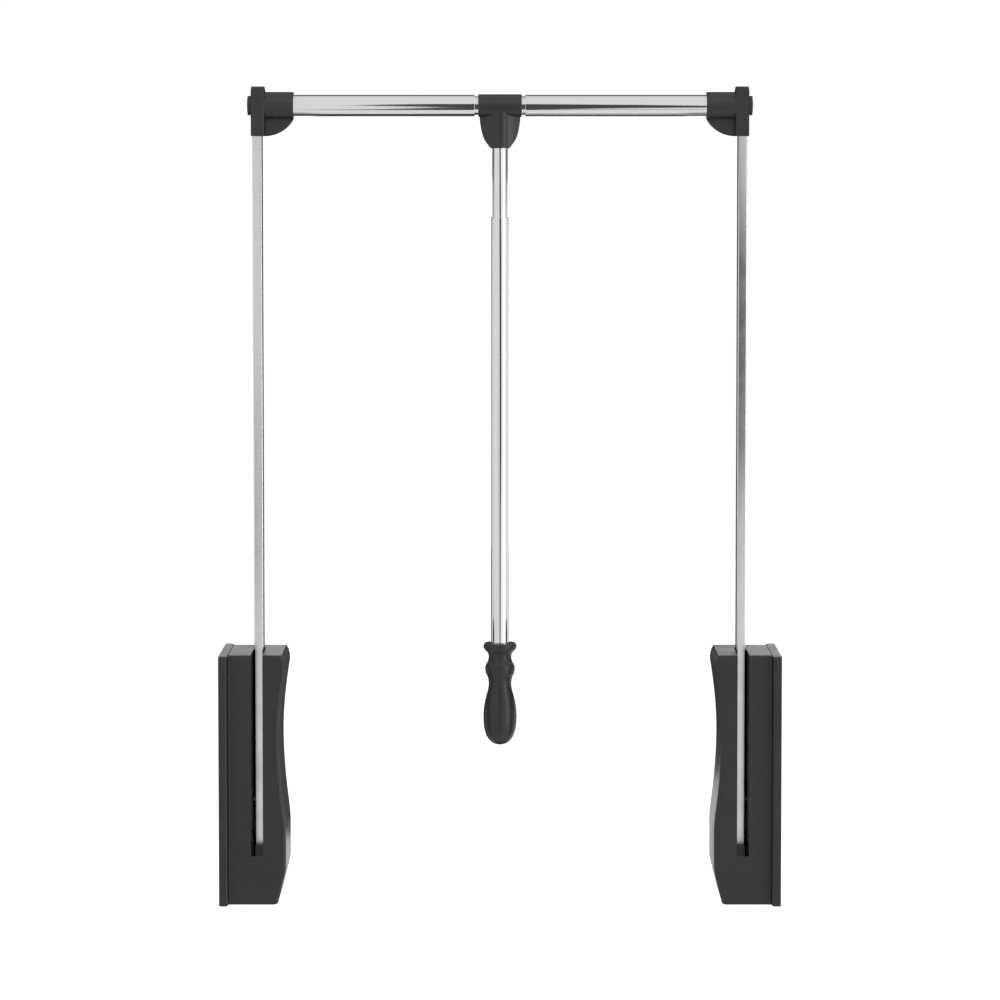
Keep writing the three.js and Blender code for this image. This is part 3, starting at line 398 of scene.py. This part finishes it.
# Housing screws, axles, spring pins, connector bolts and tube plugs: turned and headed steel, zinc plated.
# The screws hold the shell to the plate from the wall side, axle and anchor pin are held between plate, cheek
# and shell, and the bolts clamp arm, connector and hanging rod together.
zinc_light, zinc_dark, zinc_patch = "#c3c6c8", "#a6abb2", 4
screw_outline = [(0.3, 0), (0.3, 3.1), (0.5, 3.3), (2.7, 1.7), (15.3, 1.7), (17, 0)]
recess_reach, recess_half_width, recess_depth = 2, 0.5, 1.6


def zinc_plated(name):
    """Zinc plate with a thin blue passivate: a soft, uneven metal sheen in patches of a few millimetres."""
    material, tree, place = new_material(name)
    patch = add_node(tree, "ShaderNodeTexNoise", None,
                     {"Vector": place, "Scale": 1 / (zinc_patch * mm), "Detail": 3})
    tint = add_node(tree, "ShaderNodeMix", {"data_type": "RGBA"},
                    {"Factor": patch.outputs["Fac"], "A": linear(zinc_dark), "B": linear(zinc_light)})
    gloss = add_node(tree, "ShaderNodeMapRange", None,
                     {"Value": patch.outputs["Fac"], "To Min": 0.46, "To Max": 0.3})
    set_surface(tree, {"Base Color": tint.outputs["Result"], "Roughness": gloss.outputs["Result"],
                       "Metallic": 1.0})
    return material


zinc = zinc_plated("zinc plated steel")
for number, (y, z) in enumerate(housing_screws, 1):
    kind = "housing_screw_" + str(number)
    screw = turned("left_" + kind + "_form", screw_outline, (0, y, z), "X", 32)
    cross = [block("cross", (0, y - a, z - b), (recess_depth, y + a, z + b))
             for a, b in ((recess_reach, recess_half_width), (recess_half_width, recess_reach))]
    shaped(screw, (), cross)
    on_both_sides(screw, kind, zinc, "zinc_steel", "housing")


def both(*kinds):
    """The names of these nodes on both sides."""
    return [side + kind for kind in kinds for side in ("left_", "right_")]


def dress(nodes, material):
    """Gives a finish to CAD nodes that keep their own shape."""
    for node in nodes:
        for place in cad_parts[node].material_slots:
            place.material = material


dress(both("pivot_axle", "spring_anchor", "spring_pin", "connector_bolt", "tube_plug"), zinc)

# Lift springs: cold drawn steel wire, oiled. One hooks over the two pins on the wall side of each cheek. The
# drawing lines of the wire, 1.5 mm apart in the picture, make its sheen uneven.
spring_grey, drawing_lines = "#83868a", 1.5
material, tree, place = new_material("oiled spring wire")
lines = add_node(tree, "ShaderNodeTexNoise", None,
                 {"Vector": place, "Scale": 1 / (drawing_lines * mm), "Detail": 2})
gloss = add_node(tree, "ShaderNodeMapRange", None,
                 {"Value": lines.outputs["Fac"], "To Min": 0.25, "To Max": 0.42})
set_surface(tree, {"Base Color": linear(spring_grey), "Metallic": 1.0, "Roughness": gloss.outputs["Result"]})
dress(both("lift_spring"), material)

# Stop pads: a block of moulded rubber behind each arm, which stops it when it stands upright. Its skin is
# dull, with pores a little under a millimetre across.
rubber_black, pore, pore_depth = "#1b1b1c", 0.8, 0.1
material, tree, place = new_material("moulded black rubber")
pores = add_node(tree, "ShaderNodeTexNoise", None, {"Vector": place, "Scale": 1 / (pore * mm), "Detail": 3})
bump = add_node(tree, "ShaderNodeBump", None,
                {"Height": pores.outputs["Fac"], "Strength": 0.4, "Distance": pore_depth * mm})
set_surface(tree, {"Base Color": linear(rubber_black), "Roughness": 0.85, "Normal": bump.outputs["Normal"]})
dress(both("stop_pad"), material)

# Swing arms: flat steel tube with round corners, satin chromed. Each turns on the axle, carries the spring
# pin above it, and ends inside the corner connector, where the bolt of the hanging rod goes through it.
arm_x, arm_thickness, arm_depth, arm_corner, arm_wall, arm_bore_corner = 38.5, 9.5, 25, 1.2, 1.5, 0.5
arm_foot, arm_head = pivot_z - 18.3, 707
bush_bore = 7.3
rod_z = 691
satin_chrome_light, satin_chrome_dark = "#e6e6e6", "#dbdbdb"


def chromed(name, light, dark, roughness, along):
    """Chromed steel over a surface polished along the tube: streaks half a millimetre wide and 60 long.
    A faint cloud of wiping marks, some 25 mm across, makes the reflections slightly uneven."""
    streak_width, streak_length, streak_depth, wiping_marks, unevenness = 0.5, 60, 0.004, 25, 0.15
    material, tree, place = new_material(name)
    stretch = [1 / (streak_width * mm)] * 3
    stretch["XYZ".index(along)] = 1 / (streak_length * mm)
    combed = add_node(tree, "ShaderNodeVectorMath", {"operation": "MULTIPLY"}, {0: place, 1: stretch})
    streaks = add_node(tree, "ShaderNodeTexNoise", None,
                       {"Vector": combed.outputs[0], "Scale": 1.0, "Detail": 2})
    cloud = add_node(tree, "ShaderNodeTexNoise", None,
                     {"Vector": place, "Scale": 1 / (wiping_marks * mm), "Detail": 2})
    tint = add_node(tree, "ShaderNodeMix", {"data_type": "RGBA"},
                    {"Factor": streaks.outputs["Fac"], "A": linear(dark), "B": linear(light)})
    gloss = add_node(tree, "ShaderNodeMapRange", None,
                     {"Value": cloud.outputs["Fac"], "From Min": 0.3, "From Max": 0.7,
                      "To Min": roughness * (1 - unevenness), "To Max": roughness * (1 + unevenness)})
    bump = add_node(tree, "ShaderNodeBump", None,
                    {"Height": streaks.outputs["Fac"], "Strength": 0.1, "Distance": streak_depth * mm})
    set_surface(tree, {"Base Color": tint.outputs["Result"], "Metallic": 1.0,
                       "Roughness": gloss.outputs["Result"], "Normal": bump.outputs["Normal"]})
    return material


def arm_section(smaller, corner):
    """The arm seen from above, smaller by so much on each side than its outside."""
    return rounded_rectangle(arm_thickness - 2 * smaller, arm_depth - 2 * smaller, corner, (arm_x, pivot_y))


satin_chrome = chromed("satin chromed steel", satin_chrome_light, satin_chrome_dark, 0.18, "Z")
arm = prism("left_arm_form", arm_section(0, arm_corner), arm_foot, arm_head, "Z")
arm_cuts = [prism("arm bore", arm_section(arm_wall, arm_bore_corner), arm_foot - overrun, arm_head + overrun,
                  "Z")]
arm_cuts += [round_bar("cross hole", -arm_thickness, arm_thickness, radius, (arm_x, pivot_y, z), "X", 40)
             for radius, z in ((bush_bore, pivot_z), (pin_bore, pivot_z + pin_run), (pin_bore, rod_z))]
shaped(arm, (), arm_cuts)
on_both_sides(arm, "arm", satin_chrome, "satin_chrome", "lift")

# Arm shoes: a plug of moulded acetal that closes each arm's lower end and shows in the slot below it. It is
# glossier than the housings, as acetal is. Its greys are painted lighter than the dark plug is: painted light
# that stands for the light reaching it deep in the slot.
shoe_foot, shoe_edge, shoe_gap = pivot_z - 31.5, 0.6, 0.3
shoe_plug_run, shoe_plug_play, shoe_corner = 8.7, 0.3, 0.5
shoe_room_thickness, shoe_room_depth = 3.9, 17.4
# Both greys are painted lighter than the plug, painted light for the light that reaches it in the slot.
painted_lit_acetal_dark, painted_lit_acetal_light = "#5a5a59", "#646463"
shoe = prism("left_arm_shoe_form", arm_section(0, arm_corner), shoe_foot, arm_foot - shoe_gap, "Z")
rounded_edges(shoe, shoe_edge, 3, 50)
shoe_plug = prism("shoe plug", arm_section(arm_wall + shoe_plug_play, shoe_corner), arm_foot - root,
                  arm_foot + shoe_plug_run, "Z")
outline = rounded_rectangle(shoe_room_thickness, shoe_room_depth, shoe_corner, (arm_x, pivot_y))
shoe_room = prism("shoe room", outline, arm_foot, arm_foot + shoe_plug_run + overrun, "Z")
shaped(shoe, [shoe_plug], [shoe_room])
acetal = moulded_nylon("arm shoe acetal", painted_lit_acetal_dark, painted_lit_acetal_light, 0.22, 0.5)
on_both_sides(shoe, "arm_shoe", acetal, "black_plastic", "lift")

# Bushes: two flanged half bushes of grey nylon in each arm run on the axle. Their flanges keep the arm off
# the sides of the slot. Moulded nylon lets a little light in, so its edges look soft.
nylon_light, nylon_dark, nylon_cloud = "#343433", "#2c2c2b", 6
bush_radius, bush_start, flange_radius, flange_start, flange_end = 7, 0.15, 9.5, 5.05, 5.8
grey_nylon, tree, place = new_material("grey nylon")
cloud = add_node(tree, "ShaderNodeTexNoise", None,
                 {"Vector": place, "Scale": 1 / (nylon_cloud * mm), "Detail": 2})
tint = add_node(tree, "ShaderNodeMix", {"data_type": "RGBA"},
                {"Factor": cloud.outputs["Fac"], "A": linear(nylon_dark), "B": linear(nylon_light)})
set_surface(tree, {"Base Color": tint.outputs["Result"], "Roughness": 0.5, "IOR": 1.53,
                   "Subsurface Weight": 0.15, "Subsurface Scale": 0.002})
bush_outline = [(bush_start, axle_bore), (bush_start, bush_radius), (flange_start, bush_radius),
                (flange_start, flange_radius), (flange_end, flange_radius), (flange_end, axle_bore)]
for kind, side in (("room_bush", 1), ("wall_bush", -1)):
    bush = turned("left_" + kind + "_form", [(side * far, radius) for far, radius in bush_outline],
                  (arm_x, pivot_y, pivot_z), "X", 48, ring_closed=True)
    on_both_sides(bush, kind, grey_nylon, "grey_nylon", "lift")

# Corner connectors: moulded black nylon, one on each arm. The upright socket takes the arm's top, the round
# socket the end of the hanging rod, and a web with a curved edge stiffens the corner between them.
connector_out, connector_in, socket_end = 32.2, 46.1, 75.7
connector_drop, connector_rise, connector_half_depth = 31.4, 19.5, 14.5
connector_edge, wall_side_edge, connector_brow, brow_height = 2.2, 0.3, 2.8, 4.6
brow_room_side, brow_wall_side = 0.9, 0.7
socket_radius, socket_bore, socket_floor = 14, 11.3, connector_in + 2.4
socket_lip = [(-0.8, 0), (-0.45, -0.1), (-0.15, -0.4), (0, -0.8)]
web_half_thickness, web_edge, web_root = 3.5, 1.2, 6
arm_play, arm_socket_corner = 0.3, 1.5

rings = []
low = rod_z - connector_drop
for drawn_in, set_back in quarter_round(6):
    y = connector_half_depth - connector_edge * set_back
    out, room_side = connector_out + wall_side_edge * drawn_in, connector_in - connector_edge * drawn_in
    brow = rod_z + connector_rise - connector_brow * drawn_in
    outline = ((out, low), (room_side, low), (room_side, brow - brow_height),
               (room_side - brow_room_side, brow), (out + brow_wall_side, brow), (out, brow - brow_height))
    rings.append([(x, pivot_y + y, z) for x, z in outline])
upright = solid("left_corner_connector_form", with_other_half(rings, pivot_y))
web_run, web_rise = socket_end - connector_in, connector_drop - socket_radius
web_radius = (web_run ** 2 + web_rise ** 2) / (2 * web_rise)
web_arc = [2 * math.atan(web_rise / web_run) * i / 24 for i in range(25)]
web_outline = [(connector_in - web_root, rod_z), (connector_in - web_root, low)]
web_outline += [(connector_in + web_radius * math.sin(a), low + web_radius * (1 - math.cos(a)))
                for a in web_arc]
web_outline.append((socket_end, rod_z))
web = prism("web", web_outline, pivot_y - web_half_thickness, pivot_y + web_half_thickness, "Y")
rounded_edges(web, web_edge, 4, 60)
socket_outline = [(connector_in - root, 0), (connector_in - root, socket_radius)]
socket_outline += [(socket_end + far, socket_radius + drop) for far, drop in socket_lip]
socket_outline.append((socket_end, 0))
socket = turned("socket", socket_outline, (0, pivot_y, rod_z), "X", 96)
connector_cuts = [
    prism("arm socket", arm_section(-arm_play, arm_socket_corner), low - overrun, arm_head + arm_play, "Z"),
    round_bar("rod socket", socket_floor, socket_end + overrun, socket_bore, (0, pivot_y, rod_z), "X", 96),
    round_bar("bolt hole", connector_out - overrun, socket_floor + overrun, pin_bore, (0, pivot_y, rod_z),
              "X")]
shaped(upright, [web, socket], connector_cuts)
on_both_sides(upright, "corner_connector", housing_black, "black_plastic", "lift")

# Connector caps: a shallow dome of the same nylon that snaps over the bolt's head on the wall side, with
# room for the head inside.
cap_gap, head_room_depth, head_room_radius = 0.3, 2.5, 6.3
cap_place = connector_out - cap_gap, pivot_y, rod_z
cap_outline = [(0, 0), (0, 10), (-2.7, 10), (-3.1, 9.88), (-3.4, 9.6), (-3.57, 9.1), (-3.72, 7.6),
               (-3.9, 5.2), (-4.04, 2.6), (-4.1, 0)]
cap = turned("left_connector_cap_form", cap_outline, cap_place, "X", 72)
head_room = round_bar("bolt head room", -head_room_depth, overrun, head_room_radius, cap_place, "X", 72)
shaped(cap, (), [head_room])
on_both_sides(cap, "connector_cap", housing_black, "black_plastic", "lift")

# Hanging rod: a drawn steel tube from each connector, bright chromed, draws out along a thinner tube in the
# middle. Nylon glides plug the thin tube's ends inside the outer ones. Tube ends are cut square and broken.
bright_chrome_light, bright_chrome_dark = "#f0f0f0", "#e6e6e6"
outer_tube_start, outer_tube_end, outer_tube_radius, outer_tube_bore = 48.8, 262, 11, 9.8
centre_tube_half_length, centre_tube_radius, centre_tube_bore = 197, 9.5, 8.3
tube_edge, tube_bend = 0.4, 0.12


def tube(name, start, end, outer, bore, place, along):
    """A tube between two points of an axis, with the outer edges of its ends broken."""
    outline = [(start, bore), (start, outer - tube_edge), (start + tube_bend, outer - tube_bend),
               (start + tube_edge, outer), (end - tube_edge, outer), (end - tube_bend, outer - tube_bend),
               (end, outer - tube_edge), (end, bore)]
    return turned(name, outline, place, along, 128, ring_closed=True)


rod_chrome = chromed("bright chromed rod", bright_chrome_light, bright_chrome_dark, 0.085, "X")
outer_tube = tube("left_outer_tube_form", outer_tube_start, outer_tube_end, outer_tube_radius,
                  outer_tube_bore, (0, pivot_y, rod_z), "X")
on_both_sides(outer_tube, "outer_tube", rod_chrome, "bright_chrome", "lift")
middle_x = closed_width / 2
centre_tube = tube("centre_tube_form", -centre_tube_half_length, centre_tube_half_length, centre_tube_radius,
                   centre_tube_bore, (middle_x, pivot_y, rod_z), "X")
stands_for(smooth(centre_tube), rod_chrome, "bright_chrome", "centre_rod", "centre_tube")
dress(both("rod_glide"), grey_nylon)

# Tee connector: moulded black nylon, pushed over the middle of the thin tube. Below the sleeve a round
# socket grips the pull rod, with a curved wing on each side. Two small set screws at the back hold both.
tee_half_length, tee_radius, tee_bore, tee_neck, tee_drop = 22.4, 11.65, 9.8, 10.4, 42.6
pull_seat_radius, pull_seat_floor, tee_socket_head = 8.3, -15, -2
sleeve_end = [(0, -0.8), (0.12, -0.42), (0.42, -0.12), (0.8, 0)]
socket_foot = [(-1.2, 0), (-1.2, 9.6), (-0.9, 10.1), (-0.4, 10.3), (1, tee_neck)]
wing_edge, wing_slope, wing_hollow, wing_root = 0.8, 0.33, 0.0184, 0.5
cup_foot, cup_reach, cup_sides = 10.9, tee_half_length - sleeve_end[-1][0], 96
# How far down the cup each section is, and how much of its width beyond the foot's is left there.
cup_shares = [(0.0, 1.0), (0.3, 0.94), (0.48, 0.86), (0.65, 0.73), (0.78, 0.56), (0.87, 0.37),
              (0.94, 0.15), (1.0, 0.0)]
# Each set screw's node, tip, outer end, radius and height, and where its hole starts.
set_screws = [("tee_swivel_screw", 9.2, 11.15, 1.5, rod_z, 8.3),
              ("tee_lock_screw", 5.8, 10.3, 2, rod_z - 30, 7)]
set_screw_play, key_depth, key_share = 0.3, 1.2, 0.55


def through(points, steps):
    """A smooth line through these points, with the given number of steps between two of them."""
    padded = [points[0], *points, points[-1]]
    made = [points[0]]
    for before, start, end, after in zip(padded, padded[1:], padded[2:], padded[3:]):
        for step in range(1, steps + 1):
            t = step / steps
            made.append(tuple(0.5 * (2 * b + (c - a) * t + (2 * a - 5 * b + 4 * c - d) * t * t
                                     + (3 * b - a - 3 * c + d) * t ** 3)
                              for a, b, c, d in zip(before, start, end, after)))
    return made


tee_place = middle_x, pivot_y, rod_z
sleeve_outline = [(-tee_half_length, 0)]
sleeve_outline += [(far - tee_half_length, tee_radius + drop) for far, drop in sleeve_end]
sleeve_outline += [(-far, radius) for far, radius in reversed(sleeve_outline)]
tee = turned("tee_connector_form", sleeve_outline, tee_place, "X", 96)
# The wings' faces run straight down, and hollow out a little from their edges to the socket. Only their
# outline draws in towards the foot.
turn = [2 * math.pi * i / cup_sides for i in range(cup_sides)]
cup_rings = []
for drop_share, width_share in through(cup_shares, 4):
    half_width = cup_foot + width_share * (cup_reach - cup_foot)
    ring = []
    for a in turn:
        x = half_width * math.cos(a)
        edge_turn = min(1, max(0, 1 - (half_width - abs(x)) / wing_edge))
        inward = max(0, cup_reach - abs(x))
        depth = (wing_slope * inward + wing_hollow * inward ** 2 / 2
                 + wing_edge * math.sqrt(1 - edge_turn ** 2))
        depth = math.copysign(min(depth, tee_neck - wing_root), math.sin(a))
        ring.append((middle_x + x, pivot_y + depth, rod_z - drop_share * tee_drop))
    cup_rings.append(ring)
cup = solid("cup", cup_rings)
socket_outline = [(far - tee_drop, radius) for far, radius in socket_foot]
socket_outline += [(tee_socket_head, tee_neck), (tee_socket_head, 0)]
tee_socket = turned("tee socket", socket_outline, tee_place, "Z", 96)
tee_cuts = [round_bar("rod bore", -tee_half_length - overrun, tee_half_length + overrun, tee_bore,
                      tee_place, "X", 96),
            round_bar("pull seat", socket_outline[0][0] - overrun, pull_seat_floor, pull_seat_radius,
                      tee_place, "Z", 96)]
tee_cuts += [round_bar("set screw hole", hole_start, tee_radius + overrun, radius + set_screw_play,
                       (middle_x, pivot_y, z), "Y") for node, tip, end, radius, z, hole_start in set_screws]
shaped(tee, [cup, tee_socket], tee_cuts)
tee_black = moulded_nylon("tee moulded nylon", moulded_black, moulded_black_worn, 0.34)
stands_for(smooth(tee), tee_black, "black_plastic", "tee_swivel", "tee_connector")
for node, tip, end, radius, z, hole_start in set_screws:
    screw_place = middle_x, pivot_y, z
    screw = round_bar(node + "_form", tip, end, radius, screw_place, "Y")
    key = round_bar("key", end - key_depth, end + overrun, radius * key_share, screw_place, "Y", 6)
    stands_for(smooth(shaped(screw, (), [key])), zinc, "zinc_steel", "tee_swivel", node)

# Pull rod: two drawn steel tubes, bright chromed. The upper one is fixed in the tee, and the lower one, which
# carries the handle, slides on it over a nylon glide.
upper_tube_foot, upper_tube_head, upper_tube_radius, upper_tube_bore = rod_z - 480, rod_z - 15.3, 8, 7
lower_tube_foot, lower_tube_head, lower_tube_radius, lower_tube_bore = rod_z - 590, rod_z - 114.9, 9.5, 8.6
pull_chrome = chromed("bright chromed pull rod", bright_chrome_light, bright_chrome_dark, 0.085, "Z")
upper_tube = tube("upper_pull_tube_form", upper_tube_foot, upper_tube_head, upper_tube_radius,
                  upper_tube_bore, (middle_x, pivot_y, 0), "Z")
stands_for(smooth(upper_tube), pull_chrome, "bright_chrome", "tee_swivel", "upper_pull_tube")
lower_tube = tube("lower_pull_tube_form", lower_tube_foot, lower_tube_head, lower_tube_radius,
                  lower_tube_bore, (middle_x, pivot_y, 0), "Z")
stands_for(smooth(lower_tube), pull_chrome, "bright_chrome", "pull_handle", "lower_pull_tube")
dress(["pull_rod_glide"], grey_nylon)

# Handle: a grip of black polypropylene, turned in form, with a rim, a bead between two necks and a bulb with
# a round end. It is pressed on the lower tube. The mould leaves it a little glossier than the housings.
handle_top, handle_length, handle_radius = rod_z - 555.6, 106.6, 17.25
handle_bore_radius, handle_bore_depth = 9.8, 34.7
# How far down the grip each section is, and its share of the largest radius.
handle_shares = [(0.0, 0.93), (0.015, 0.985), (0.045, 0.99), (0.07, 0.89), (0.1, 0.73), (0.135, 0.682),
                 (0.175, 0.73), (0.21, 0.85), (0.25, 0.897), (0.295, 0.85), (0.335, 0.74), (0.39, 0.684),
                 (0.45, 0.715), (0.52, 0.835), (0.6, 0.94), (0.69, 0.998), (0.78, 0.985), (0.85, 0.93),
                 (0.91, 0.81), (0.955, 0.62), (0.985, 0.37), (1.0, 0.0)]
grip = through([(share * handle_length, radius * handle_radius) for share, radius in handle_shares], 5)
outline = [(handle_top - handle_bore_depth, 0), (handle_top - handle_bore_depth, handle_bore_radius),
           (handle_top, handle_bore_radius)]
outline += [(handle_top - far, max(radius, 0)) for far, radius in grip]
handle = turned("handle_form", outline, (middle_x, pivot_y, 0), "Z", 96)
handle_black = moulded_nylon("handle moulded polypropylene", moulded_black, moulded_black_worn, 0.32)
stands_for(smooth(handle), handle_black, "black_plastic", "pull_handle", "handle")

# Floor: pale matt paint, well below the fitting, which hangs on its two walls. It glows a little, as a white
# studio floor does, and polished metal doesn't mirror it.
floor_low, floor_thickness, floor_reach, floor_mottle = foot - 500, 20, 9000, 500
floor_colour, floor_worn = "#f4f4f4", "#f7f7f7"
floor = block("floor", (-floor_reach, -floor_reach, floor_low - floor_thickness),
              (floor_reach + closed_width, floor_reach, floor_low))
material, tree, place = new_material("floor paint")
mottle = add_node(tree, "ShaderNodeTexNoise", None, {"Vector": place, "Scale": 1 / (floor_mottle * mm)})
tint = add_node(tree, "ShaderNodeMix", {"data_type": "RGBA"},
                {"Factor": mottle.outputs["Fac"], "A": linear(floor_colour), "B": linear(floor_worn)})
set_surface(tree, {"Base Color": tint.outputs["Result"], "Roughness": 0.9,
                   "Emission Color": linear("#ffffff"), "Emission Strength": 0.55})
floor.data.materials.append(material)
floor.visible_glossy = False

# Flags: black felt on frames in front, which only reflections show. The large one is cut so that its dark
# image lies along the middle of the tubes, as in the photograph. An outline lists how far right of the
# fitting's middle, and how high.
flag_far, flag_thickness = -1250, 5
flag_outline = [(-150, 930), (-100, 1060), (0, 1080), (60, 1010), (120, 930), (190, 840), (240, 720),
                (300, 600), (350, 540), (398, 505), (398, 250), (350, 225), (290, 195), (240, 165),
                (205, 100), (160, 0), (110, -200), (98, -340), (320, -360), (320, -490), (90, -510),
                (60, -780), (-110, -780), (-180, -800), (-260, -760), (-300, -700), (-260, -560),
                (-190, -450), (-150, -250), (-120, 0), (-92, 150), (-82, 250), (-92, 350), (-130, 500),
                (-180, 620), (-190, 740)]
side_flag_outline = [(-385, 10), (-345, 40), (-330, 120), (-325, 186), (-330, 260), (-345, 340), (-385, 370)]
material, tree, place = new_material("black felt")
# The felt glows faintly: painted light that makes its reflection in the chrome dark grey, not black.
set_surface(tree, {"Base Color": linear("#101010"), "Roughness": 1.0, "Specular IOR Level": 0.0,
                   "Emission Color": linear("#ffffff"), "Emission Strength": 0.06})
for name, outline in (("flag", flag_outline), ("side flag", side_flag_outline)):
    flag = prism(name, [(middle_x + x, z) for x, z in outline], flag_far, flag_far + flag_thickness, "Y")
    flag.data.materials.append(material)
    flag.visible_camera = flag.visible_diffuse = flag.visible_shadow = False

# Surround: a white studio. Chrome shows what is around it, which is a wide soft panel on each side, brighter
# on the right and dimmer behind, and two dark fields behind. The camera itself sees plain white.
left_panel, right_panel, rear_share, dark_strip, backdrop_white = 0.80, 1.02, 0.86, 0.07, 1.05
world = bpy.data.worlds.new("studio surround")
world.use_nodes = True
tree = world.node_tree
tree.nodes.clear()
towards = add_node(tree, "ShaderNodeTexCoord").outputs["Generated"]
parts = add_node(tree, "ShaderNodeSeparateXYZ", None, {0: towards})
x, y, z = (parts.outputs[name] for name in "XYZ")
lean = add_node(tree, "ShaderNodeMath", {"operation": "MULTIPLY_ADD"}, {0: z, 1: -0.25, 2: y}).outputs[0]
# Each dark field is a product of soft edges: a value's edge from start to end ends in the edge before it.
fields = []
for edges in (((lean, 0.34, 0.46), (x, -0.85, -0.7), (x, 0.55, 0.44)),
              ((y, 0.1, 0.2), (z, -0.012, -0.002), (z, 0.5, 0.3))):
    field = 1.0
    for value, start, end in edges:
        edge = add_node(tree, "ShaderNodeMapRange", {"interpolation_type": "SMOOTHSTEP"},
                        {"Value": value, "From Min": start, "From Max": end, "To Min": 0.0, "To Max": field})
        field = edge.outputs[0]
    fields.append(field)
dark = add_node(tree, "ShaderNodeMath", {"operation": "MAXIMUM"}, dict(enumerate(fields))).outputs[0]
sides = add_node(tree, "ShaderNodeMapRange", {"interpolation_type": "SMOOTHSTEP"},
                 {"Value": x, "From Min": 0.0, "From Max": 0.35, "To Min": left_panel, "To Max": right_panel})
dimmed = add_node(tree, "ShaderNodeMapRange", {"interpolation_type": "SMOOTHSTEP"},
                  {"Value": y, "From Min": -0.1, "From Max": 0.5, "To Min": 1.0, "To Max": rear_share})
around = add_node(tree, "ShaderNodeMath", {"operation": "MULTIPLY"},
                  {0: sides.outputs[0], 1: dimmed.outputs[0]})
panels = add_node(tree, "ShaderNodeMix", {"data_type": "FLOAT"},
                  {"Factor": dark, "A": around.outputs[0], "B": dark_strip})
surround = add_node(tree, "ShaderNodeBackground", None, {"Color": panels.outputs[0], "Strength": 1.0})
backdrop = add_node(tree, "ShaderNodeBackground", None,
                    {"Color": linear("#ffffff"), "Strength": backdrop_white})
seen = add_node(tree, "ShaderNodeLightPath").outputs["Is Camera Ray"]
chosen = add_node(tree, "ShaderNodeMixShader", None,
                  {0: seen, 1: surround.outputs[0], 2: backdrop.outputs[0]})
add_node(tree, "ShaderNodeOutputWorld", None, {"Surface": chosen.outputs[0]})
bpy.context.scene.world = world

# Soft boxes: the key light stands in front and above. A bright strip on the right draws the thin highlights.
# Behind each housing a panel brightens its top, and a low one its room side near the foot.
middle_z = 290
key_place, key_size, key_radiance = (middle_x, -1600, middle_z + 1900), 1200, 16
strip_far, strip_turn, strip_width, strip_height, strip_radiance = 2000, math.radians(57), 210, 1700, 4.8
rear_panel_out, rear_panel_far, rear_panel_z = 150, 1000, 370
rear_panel_width, rear_panel_height, rear_panel_radiance = 400, 480, 1.17
low_panels = [((125, 150, -171), 190, 175), ((421, 300, -134), 280, 200)]  # place, width, height
low_panel_radiance = 1.2


def soft_box(name, place, aim, width, height, radiance, shape="RECTANGLE", in_reflections=True):
    """A soft box at place, turned towards aim, in millimetres. radiance is its brightness, white is one."""
    lamp = bpy.data.lights.new(name, "AREA")
    lamp.shape, lamp.size, lamp.size_y = shape, width * mm, height * mm
    area = lamp.size * lamp.size_y * (math.pi / 4 if shape == "ELLIPSE" else 1)
    lamp.energy = radiance * math.pi * area
    box = bpy.data.objects.new(name, lamp)
    box.location = Vector(place) * mm
    box.rotation_mode = "QUATERNION"
    box.rotation_quaternion = (Vector(aim) - Vector(place)).to_track_quat("-Z", "Y")
    box.visible_camera = False
    box.visible_glossy = in_reflections
    bpy.context.scene.collection.objects.link(box)


soft_box("key soft box", key_place, (middle_x, 0, middle_z), key_size, key_size, key_radiance,
         in_reflections=False)
strip_place = middle_x + strip_far * math.sin(strip_turn), -strip_far * math.cos(strip_turn), middle_z
soft_box("strip soft box", strip_place, (middle_x, 0, middle_z), strip_width, strip_height, strip_radiance)
for x in (-rear_panel_out, closed_width + rear_panel_out):
    soft_box("rear panel", (x, rear_panel_far, rear_panel_z), (x, 0, rear_panel_z), rear_panel_width,
             rear_panel_height, rear_panel_radiance)
for (x, y, z), width, height in low_panels:
    soft_box("low panel", (x, y, z), (x, 0, z), width, height, low_panel_radiance, "ELLIPSE")

# Camera: on the fitting's middle, 4.2 m in front of the plates, a little above the handle. It is tilted down
# and shifted a little, which together frame the fitting as the photograph does.
camera_lens, camera_shift, camera_far, camera_height, camera_tilt = 148.99, -0.05, 4262.5, 629.2, 3.928
camera = bpy.data.objects.new("camera", bpy.data.cameras.new("camera"))
camera.data.lens, camera.data.sensor_width, camera.data.shift_y = camera_lens, 36, camera_shift
camera.data.clip_end = 100
camera.location = (middle_x * mm, -camera_far * mm, camera_height * mm)
camera.rotation_euler = (math.radians(90 - camera_tilt), 0, 0)
bpy.context.scene.collection.objects.link(camera)
bpy.context.scene.camera = camera
bpy.context.scene.view_settings.view_transform = "Standard"
